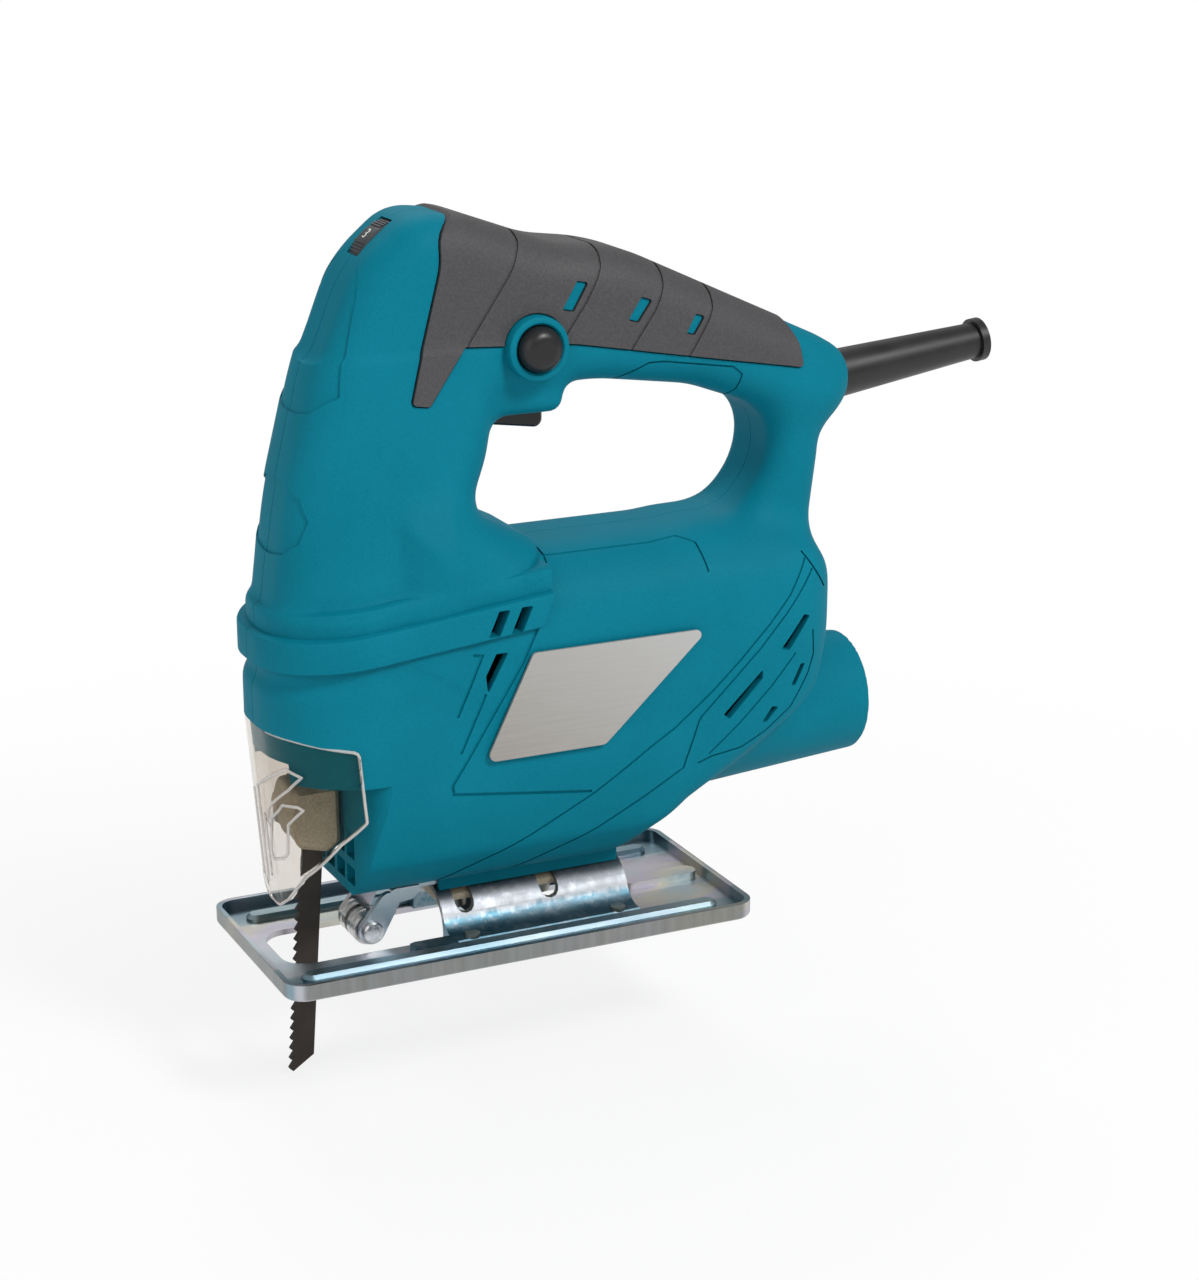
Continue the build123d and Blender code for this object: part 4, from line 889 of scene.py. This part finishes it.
def beadTree():
    tree, keys = newTree("beads", [("Radius", "Float"), ("Material", "Material")])
    source = addNode(tree, "NodeGroupInput")
    line = addNode(tree, "GeometryNodeMeshToCurve", None, {"Mesh": source["Geometry"]})["Curve"]
    sockets = {"Resolution": 10, "Radius": source["Radius"]}
    ring = addNode(tree, "GeometryNodeCurvePrimitiveCircle", None, sockets)["Curve"]
    sockets = {"Curve": line, "Profile Curve": ring, "Fill Caps": True}
    closeTree(tree, addNode(tree, "GeometryNodeCurveToMesh", None, sockets)["Mesh"], source)
    return tree, keys


def copyTree():
    tree, keys = newTree("copies", [("Unit", "Object"), ("Centre", "Vector"), ("Radial", "Float"),
                                    ("Material", "Material")])
    source = addNode(tree, "NodeGroupInput")
    sockets = {"Object": source["Unit"], "As Instance": True}
    unit = addNode(tree, "GeometryNodeObjectInfo", None, sockets)["Geometry"]
    place = addNode(tree, "GeometryNodeInputPosition")["Position"]
    sockets = {0: place, 1: source["Centre"]}
    out = addNode(tree, "ShaderNodeVectorMath", {"operation": "SUBTRACT"}, sockets)["Vector"]
    sockets = {"Factor": source["Radial"], "Vector": out}
    turn = addNode(tree, "FunctionNodeAlignRotationToVector", {"axis": "Z"}, sockets)["Rotation"]
    sockets = {"Points": source["Geometry"], "Instance": unit, "Rotation": turn}
    closeTree(tree, addNode(tree, "GeometryNodeInstanceOnPoints", None, sockets)["Instances"], source)
    return tree, keys


weldGap = 1e-4


def grownFrom(piece, made, values):
    # runs a tree on the piece and leaves a plain mesh
    tree, keys = made
    modifier = piece.modifiers.new("grow", "NODES")
    modifier.node_group = tree
    for label, value in values.items():
        modifier[keys[label]] = value
    outward(settled(piece), weldGap)
    return piece


def lineObject(name, paths):
    mesh = bpy.data.meshes.new(name)
    points, edges = [], []
    for path in paths:
        start = len(points)
        points += [tuple(p) for p in path]
        edges += [(i, i + 1) for i in range(start, len(points) - 1)]
    mesh.from_pydata(points, edges, [])
    made = bpy.data.objects.new(name, mesh)
    scene.collection.objects.link(made)
    return made


def copiesOf(unit, name, places, centre, radial, slot):
    # copies of the unit at the places, turned away from the centre where radial is 1
    made = lineObject(name, [[place] for place in places])
    values = {"Unit": unit, "Centre": centre, "Radial": radial, "Material": finishes[slot]}
    grownFrom(made, copyTree(), values)
    bpy.data.objects.remove(unit)
    return made


# clear shield, let into the nose, with its moulded frame, ribs and thick rim
def shieldMiddle(z):
    # centre of the shield's round at that height
    return form["nose"] + shieldForm["round"] + (shieldForm["flush"] - z) * shieldForm["lean"]


def onShield(y, z, grow):
    # point on the shield's outer face at that y and z
    aside = max(0.0, abs(y) - shieldForm["flat"])
    return (shieldMiddle(z) - math.sqrt((shieldForm["round"] + grow) ** 2 - aside ** 2), y, z)


def finePath(points, step=0.6):
    made = []
    for a, b in zip(points, points[1:]):
        count = max(1, int(math.dist(a, b) / step))
        made += [tuple(p + (q - p) * i / count for p, q in zip(a, b)) for i in range(count)]
    return made + [tuple(points[-1])]


def shieldRim(grow):
    # the shield's edge on the left, from the top of the nose round the rear to the lower tip
    face = outlinePoints(shieldForm["face"])
    radius, path = shieldForm["round"] + grow, []
    for x, z in finePath(outlinePoints(shieldForm["side"])):
        away = x - shieldMiddle(z)
        if abs(away) < radius:
            y = -shieldForm["flat"] - math.sqrt(radius ** 2 - away ** 2)
            if outlineField(face, np.array([y]), np.array([z]))[0] > 0:
                break
            path.append((x, y, z))
    _, edge, low = path[-1]
    lower = [(y, z) for y, z in finePath(face[::-1]) if edge < y < 0.3 and z < low]
    return path + [onShield(y, z, grow) for y, z in lower]


def clearShield():
    shield = shieldBlock()
    combine(shield, leaning(shieldPlan(0.05)), "INTERSECT")
    cut(shield, leaning(shieldPlan(-shieldForm["thick"])))
    shield.name = "clearShield"
    for side in (-1, 1):
        for x0, z0, x1, z1 in shieldForm["clip"]:
            outline = roundedOutline([(x0, z1), (x1, z1), (x1, z0), (x0, z0)], 0.5)
            tool = extruded(outline, side * 20, side * 34)
            combine(tool, leaning(shieldPlan(shieldForm["clipProud"])), "INTERSECT")
            cut(tool, leaning(shieldPlan(-shieldForm["clipProud"])))
            join(shield, tool)
    return shield


def shieldBeads():
    rim = shieldRim(-0.3)
    paths = [rim, [(x, -y, z) for x, y, z in rim]]
    paths += [[onShield(y, z, 0) for y, z in finePath(line)] for line in shieldForm["frames"]]
    paths += [[onShield(y, z, 0) for z in np.linspace(low, high, 14)] for y, low, high in shieldForm["ribs"]]
    beads = lineObject("shieldBeads", paths)
    return grownFrom(beads, beadTree(), {"Radius": shieldForm["beadRadius"], "Material": frostedHighlightEdge})


# pale colour on the shield's ridges and rim: partly the frosted surface, partly a painted highlight along the
# edges
frostedHighlightEdge = clearGuard("frostedHighlightEdge", (0.9, 0.88, 0.86), 0.55, 0.35)
finished(clearShield(), "housing", "clear", "blade_guard", sharp=30)
beads = shieldBeads()
finished(beads, "housing", "clear", sharp=60)
beads.data.materials[0] = frostedHighlightEdge


# speed dial: rim with groups of ribs and plain numbers between them
dialForm = {"centre": (-23.2, 186.0), "radius": 10.7, "half": 3.6, "bore": 2.2,
            "digits": "123456", "size": 4.4, "relief": 0.05, "lift": 0.02, "first": 30, "step": 50,
            "rib": (0.45, 6.6, 0.7), "ribSink": 0.3, "ribTurns": (16, 20.5, 25, 29.5, 34)}


def bothEnds(end):
    # turned profile with the same end on both sides
    return [(radius, -along) for radius, along in end[::-1]] + end


def dialBody():
    (x, z), half, radius = dialForm["centre"], dialForm["half"], dialForm["radius"]
    end = [(radius, half - 0.6), (radius - 0.15, half - 0.15), (radius - 0.6, half)]
    body = turned(bothEnds(end), (x, z))
    cut(body, extruded(circle(x, z, dialForm["bore"], 40), -9, 9))
    wide, long, high = dialForm["rib"]
    unit = boxTool(-wide / 2, wide / 2, -long / 2, long / 2, -dialForm["ribSink"], high / 2)
    turns = [math.radians(dialForm["first"] + i * dialForm["step"] + turn)
             for i in range(len(dialForm["digits"])) for turn in dialForm["ribTurns"]]
    places = [(x + radius * math.cos(turn), 0, z + radius * math.sin(turn)) for turn in turns]
    join(body, copiesOf(unit, "dialRibs", places, (x, 0, z), 1.0, "dark_plastic"))
    body.name = "dialWheel"
    return body


def dialNumbers():
    (x, z), radius = dialForm["centre"], dialForm["radius"]
    bm = bmesh.new()
    for i, digit in enumerate(dialForm["digits"]):
        text = bpy.data.curves.new("digit", "FONT")
        text.body, text.size, text.extrude = digit, dialForm["size"], dialForm["relief"]
        text.align_x = text.align_y = "CENTER"
        holder = bpy.data.objects.new("digit", text)
        scene.collection.objects.link(holder)
        mesh = evaluated(holder)
        bpy.data.objects.remove(holder)
        angle = math.radians(dialForm["first"] + i * dialForm["step"])
        for vertex in mesh.vertices:
            across, along, high = vertex.co
            turn = angle + along / radius
            reach = radius + dialForm["lift"] + high
            vertex.co = (x + reach * math.cos(turn), -across, z + reach * math.sin(turn))
        bm.from_mesh(mesh)
        bpy.data.meshes.remove(mesh)
    made = newObject("dialNumbers", [], [])
    bm.to_mesh(made.data)
    bm.free()
    outward(made, weldGap)
    return made


finished(dialBody(), "dial", "dark_plastic", "speed_dial", sharp=35)
numberWhite = mouldedPlastic("numberWhite", (0.72, 0.72, 0.7), rough=0.5)
numbers = dialNumbers()
finished(numbers, "dial", "dark_plastic", sharp=35)
numbers.data.materials[0] = numberWhite


# housing screws, cross recessed, one unit repeated at the eight wells
screwForm = {"head": 3.4, "high": 2.4, "shank": 1.8, "long": 20, "recess": (0.55, 2.0, 1.5)}


def housingScrews():
    head, high, shank = screwForm["head"], screwForm["high"], screwForm["shank"]
    unit = turned([(shank, -screwForm["long"]), (shank, 0), (head, 0), (head, high * 0.45),
                   (head - 0.3, high * 0.75), (head - 1.0, high * 0.95), (0.6, high)], (0, 0), count=48)
    thin, reach, deep = screwForm["recess"]
    for a, b in ((thin, reach), (reach, thin)):
        cut(unit, extruded([(-a, -b), (a, -b), (a, b), (-a, b)], high - deep, high + 2))
    places = [(x, seat, z) for x, z, seat in shellCuts["screws"]]
    return copiesOf(unit, "screwSet", places, (0, 0, 0), 0.0, "steel_screw")


finished(housingScrews(), "housing", "steel_screw", "housing_screws", sharp=35)


# arch bracket of the base: round top that flares out into its feet
archForm = {"radius": 12.5, "inner": 10.9, "flare": 7.0, "foot": 3.2, "edge": 19.5, "sheet": 1.6, "axis": 2.0,
            "front": -17, "rear": 39, "bolts": (-10.0, 15.5), "slotHalf": 2.8, "slotLow": 7.47,
            "tab": (-29, 14.5)}


def archBracket():
    radius, flare, foot, edge, sheet, axis, front = (
        archForm[key] for key in ("radius", "flare", "foot", "edge", "sheet", "axis", "front"))
    rise = foot + flare - axis
    middle = math.sqrt((radius + flare) ** 2 - rise ** 2)
    start = math.atan2(rise, middle)
    side = [(edge, sheet), (edge, foot - 0.4), (edge - 0.4, foot)]
    side += arc(middle, foot + flare, flare, -math.pi / 2, start - math.pi, 16)
    side += arc(0, axis, radius, start, math.pi / 2, 24)[1:]
    bracket = extruded(side + [(-y, z) for y, z in side[-2::-1]], front, archForm["rear"], "x")
    cut(bracket, turned([(archForm["inner"], -40), (archForm["inner"], 60)], (0, axis), "x"))
    half, low = archForm["slotHalf"], archForm["slotLow"]
    for x in archForm["bolts"]:
        slot = [(x - half, low, half * 0.95), (x + half, low, half * 0.95), (x + half, 17, 0),
                (x - half, 17, 0)]
        cut(bracket, extruded(outlinePoints(slot), -13.5, 13.5))
    tip, inner = archForm["tab"]
    for turn in (-1, 1):
        tab = [(tip, turn * inner, 2), (tip, turn * edge, 2), (front + 1, turn * edge, 0),
               (front + 1, turn * inner, 0)]
        join(bracket, extruded(outlinePoints(tab), sheet, foot, "z"))
    bracket.name = "archBracket"
    return bracket


bracket = archBracket()
finished(bracket, "base", "zinc_steel", "base_bracket", sharp=25)
bracket.data.materials[0] = zincArch


# guide roller with its flanges and the domed pin it turns on
rollerForm = {"centre": (-36.5, 5.6), "bore": 2.45, "pin": 2.4, "pinHalf": 9.6, "pinHead": (8.25, 0.5),
              "half": [(4.75, 1.0), (4.75, 3.0), (4.3, 3.25), (4.3, 3.75), (4.75, 4.0), (4.75, 5.6),
                       (4.35, 6.15)],
              "groove": (3.55, 0.95)}
# strip under the front bolt, its wider front plate and the two lobed ears that hold the pin
retainerForm = {"strip": (-28, 2, 5.0, 0, 1.5), "plate": (-29.5, -22.5, 8.2, 1.0, 1.0),
                "levels": (14.8, 16.8), "slot": (-12.8, -0.7, 2.8, 2.6, 2.6), "ear": (6.5, 8.2),
                "foot": (-36.5, 5.6, 3.75), "lobe": (-31.4, 13.0, 2.9), "pinGap": 0.02,
                "arm": [(-31.4, 12.4, 0), (-24.5, 13.1, 1.0), (-22.5, 15.2, 0.6), (-22.5, 16.8, 0),
                        (-31.0, 16.8, 1.5)]}


def grooveRoller():
    roller = turned(bothEnds([rollerForm["groove"]] + rollerForm["half"]), rollerForm["centre"])
    cut(roller, extruded(circle(*rollerForm["centre"], rollerForm["bore"], 64), -9, 9))
    roller.name = "grooveRoller"
    return roller


def lobedRetainer():
    low, high = retainerForm["levels"]
    retainer = extruded(planOutline(*retainerForm["strip"]), low, high, "z")
    join(retainer, extruded(planOutline(*retainerForm["plate"]), low, high, "z"))
    cut(retainer, extruded(planOutline(*retainerForm["slot"]), low - 1, high + 1, "z"))
    (x0, z0, r0), (x1, z1, r1) = retainerForm["foot"], retainerForm["lobe"]
    way = math.atan2(z1 - z0, x1 - x0)
    lean = math.acos((r0 - r1) / math.hypot(x1 - x0, z1 - z0))
    lobe = arc(x0, z0, r0, way + lean, way + 2 * math.pi - lean, 40)
    lobe += arc(x1, z1, r1, way - lean, way + lean, 32)
    arm = outlinePoints(retainerForm["arm"])
    inner, outer = retainerForm["ear"]
    for low, high in ((-outer, -inner), (inner, outer)):
        join(retainer, join(extruded(lobe, low, high), extruded(arm, low, high)))
    hole = circle(*rollerForm["centre"], rollerForm["pin"] + retainerForm["pinGap"], 64)
    cut(retainer, extruded(hole, -9, 9))
    retainer.name = "lobedRetainer"
    return retainer


def domedPin():
    radius, half, (start, proud) = rollerForm["pin"], rollerForm["pinHalf"], rollerForm["pinHead"]
    end = [(radius, start), (radius + proud, start), (radius + proud, half - 0.4), (radius + 0.1, half)]
    pin = turned(bothEnds(end), rollerForm["centre"], count=64)
    pin.name = "domedPin"
    return pin


finished(grooveRoller(), "roller", "ground_steel", "guide_roller", sharp=35)
finished(domedPin(), "retainer", "ground_steel", "roller_pin", sharp=35)
finished(lobedRetainer(), "retainer", "zinc_steel", "roller_retainer", sharp=35)


# camera, floor and light
studio = {
    "cameraPlace": (-0.28678, -0.67340, 0.30749), "azimuth": -25.59, "elevation": 17.19, "lens": 79.292,
    "floorZ": -0.0362, "floorHalf": 6.0, "floorTones": ((0.84, 0.84, 0.84), (0.87, 0.87, 0.87)),
    "floorGlow": (0.08, 0.42, 0.78, 1.0),  # share of white seen near the tool and further out
    "worldLight": 0.38,
    "lamps": [  # place, aim, size and power
        ("keyLamp", (0.45, -1.0, 1.1), (0, 0, 0.1), 0.4, 14.0),
        ("fillLamp", (-0.9, -0.7, 0.6), (0, 0, 0.08), 0.9, 3.0),
        ("rimLamp", (0.2, 0.9, 1.1), (0, 0, 0.1), 0.6, 5.5),
        ("noseLamp", (-1.1, 0.3, 0.4), (-0.05, 0, 0.06), 0.6, 1.5),
    ],
}


def aimed(name, data, place, way):
    holder = bpy.data.objects.new(name, data)
    holder.location = place
    holder.rotation_mode = "QUATERNION"
    holder.rotation_quaternion = way.to_track_quat("-Z", "Y")
    scene.collection.objects.link(holder)
    return holder


def makeCamera():
    az, el = math.radians(studio["azimuth"]), math.radians(studio["elevation"])
    back = Vector((math.sin(az) * math.cos(el), -math.cos(az) * math.cos(el), math.sin(el)))
    data = bpy.data.cameras.new("camera")
    data.sensor_width = 36
    data.lens = studio["lens"]
    data.clip_start, data.clip_end = 0.01, 50
    scene.camera = aimed("camera", data, studio["cameraPlace"], -back)


def makeFloor():
    half, z = studio["floorHalf"], studio["floorZ"]
    corners = [(-half, -half, z), (half, -half, z), (half, half, z), (-half, half, z)]
    floor = newObject("floor", corners, [(0, 1, 2, 3)])
    paint = Paint("paleFloor")
    path = paint.add("ShaderNodeLightPath")
    seen = path["Is Camera Ray"].math("MAXIMUM", path["Is Glossy Ray"])
    seen = seen.math("MAXIMUM", path["Is Transmission Ray"])
    paint.set(Base_Color=paint.blendColour(paint.noise(3, 2), *studio["floorTones"]), Roughness=0.9)
    glow = paint.add("ShaderNodeEmission", None, {"Color": (1, 1, 1), "Strength": 1.0})["Emission"]
    reach = paint.add("ShaderNodeVectorMath", {"operation": "LENGTH"}, {0: paint.place})["Value"]
    share = seen * paint.span(reach, *studio["floorGlow"])
    lit = Wire(paint, paint.shader.outputs[0])
    both = paint.add("ShaderNodeMixShader", None, {0: share, 1: lit, 2: glow})[0]
    paint.put(paint.tree.nodes["Material Output"].inputs["Surface"], both)
    floor.data.materials.append(paint.material)


def makeWorld():
    # soft light, with plain white for the camera
    scene.world = bpy.data.worlds.new("studioWorld")
    scene.world.use_nodes = True
    tree = scene.world.node_tree
    soft = tree.nodes["Background"]
    soft.inputs["Color"].default_value = (1, 1, 1, 1)
    soft.inputs["Strength"].default_value = studio["worldLight"]
    white = addNode(tree, "ShaderNodeBackground", None, {"Color": (1, 1, 1, 1), "Strength": 1.0})[0]
    seen = addNode(tree, "ShaderNodeLightPath")["Is Camera Ray"]
    both = addNode(tree, "ShaderNodeMixShader", None, {0: seen, 1: soft.outputs[0], 2: white})[0]
    tree.links.new(both, tree.nodes["World Output"].inputs["Surface"])


def makeLamps():
    for name, place, aim, size, power in studio["lamps"]:
        lamp = bpy.data.lights.new(name, "AREA")
        lamp.size, lamp.energy = size, power
        aimed(name, lamp, place, Vector(aim) - Vector(place))


makeCamera()
makeFloor()
makeWorld()
makeLamps()
scene.view_settings.view_transform = "Standard"
print("studio made")
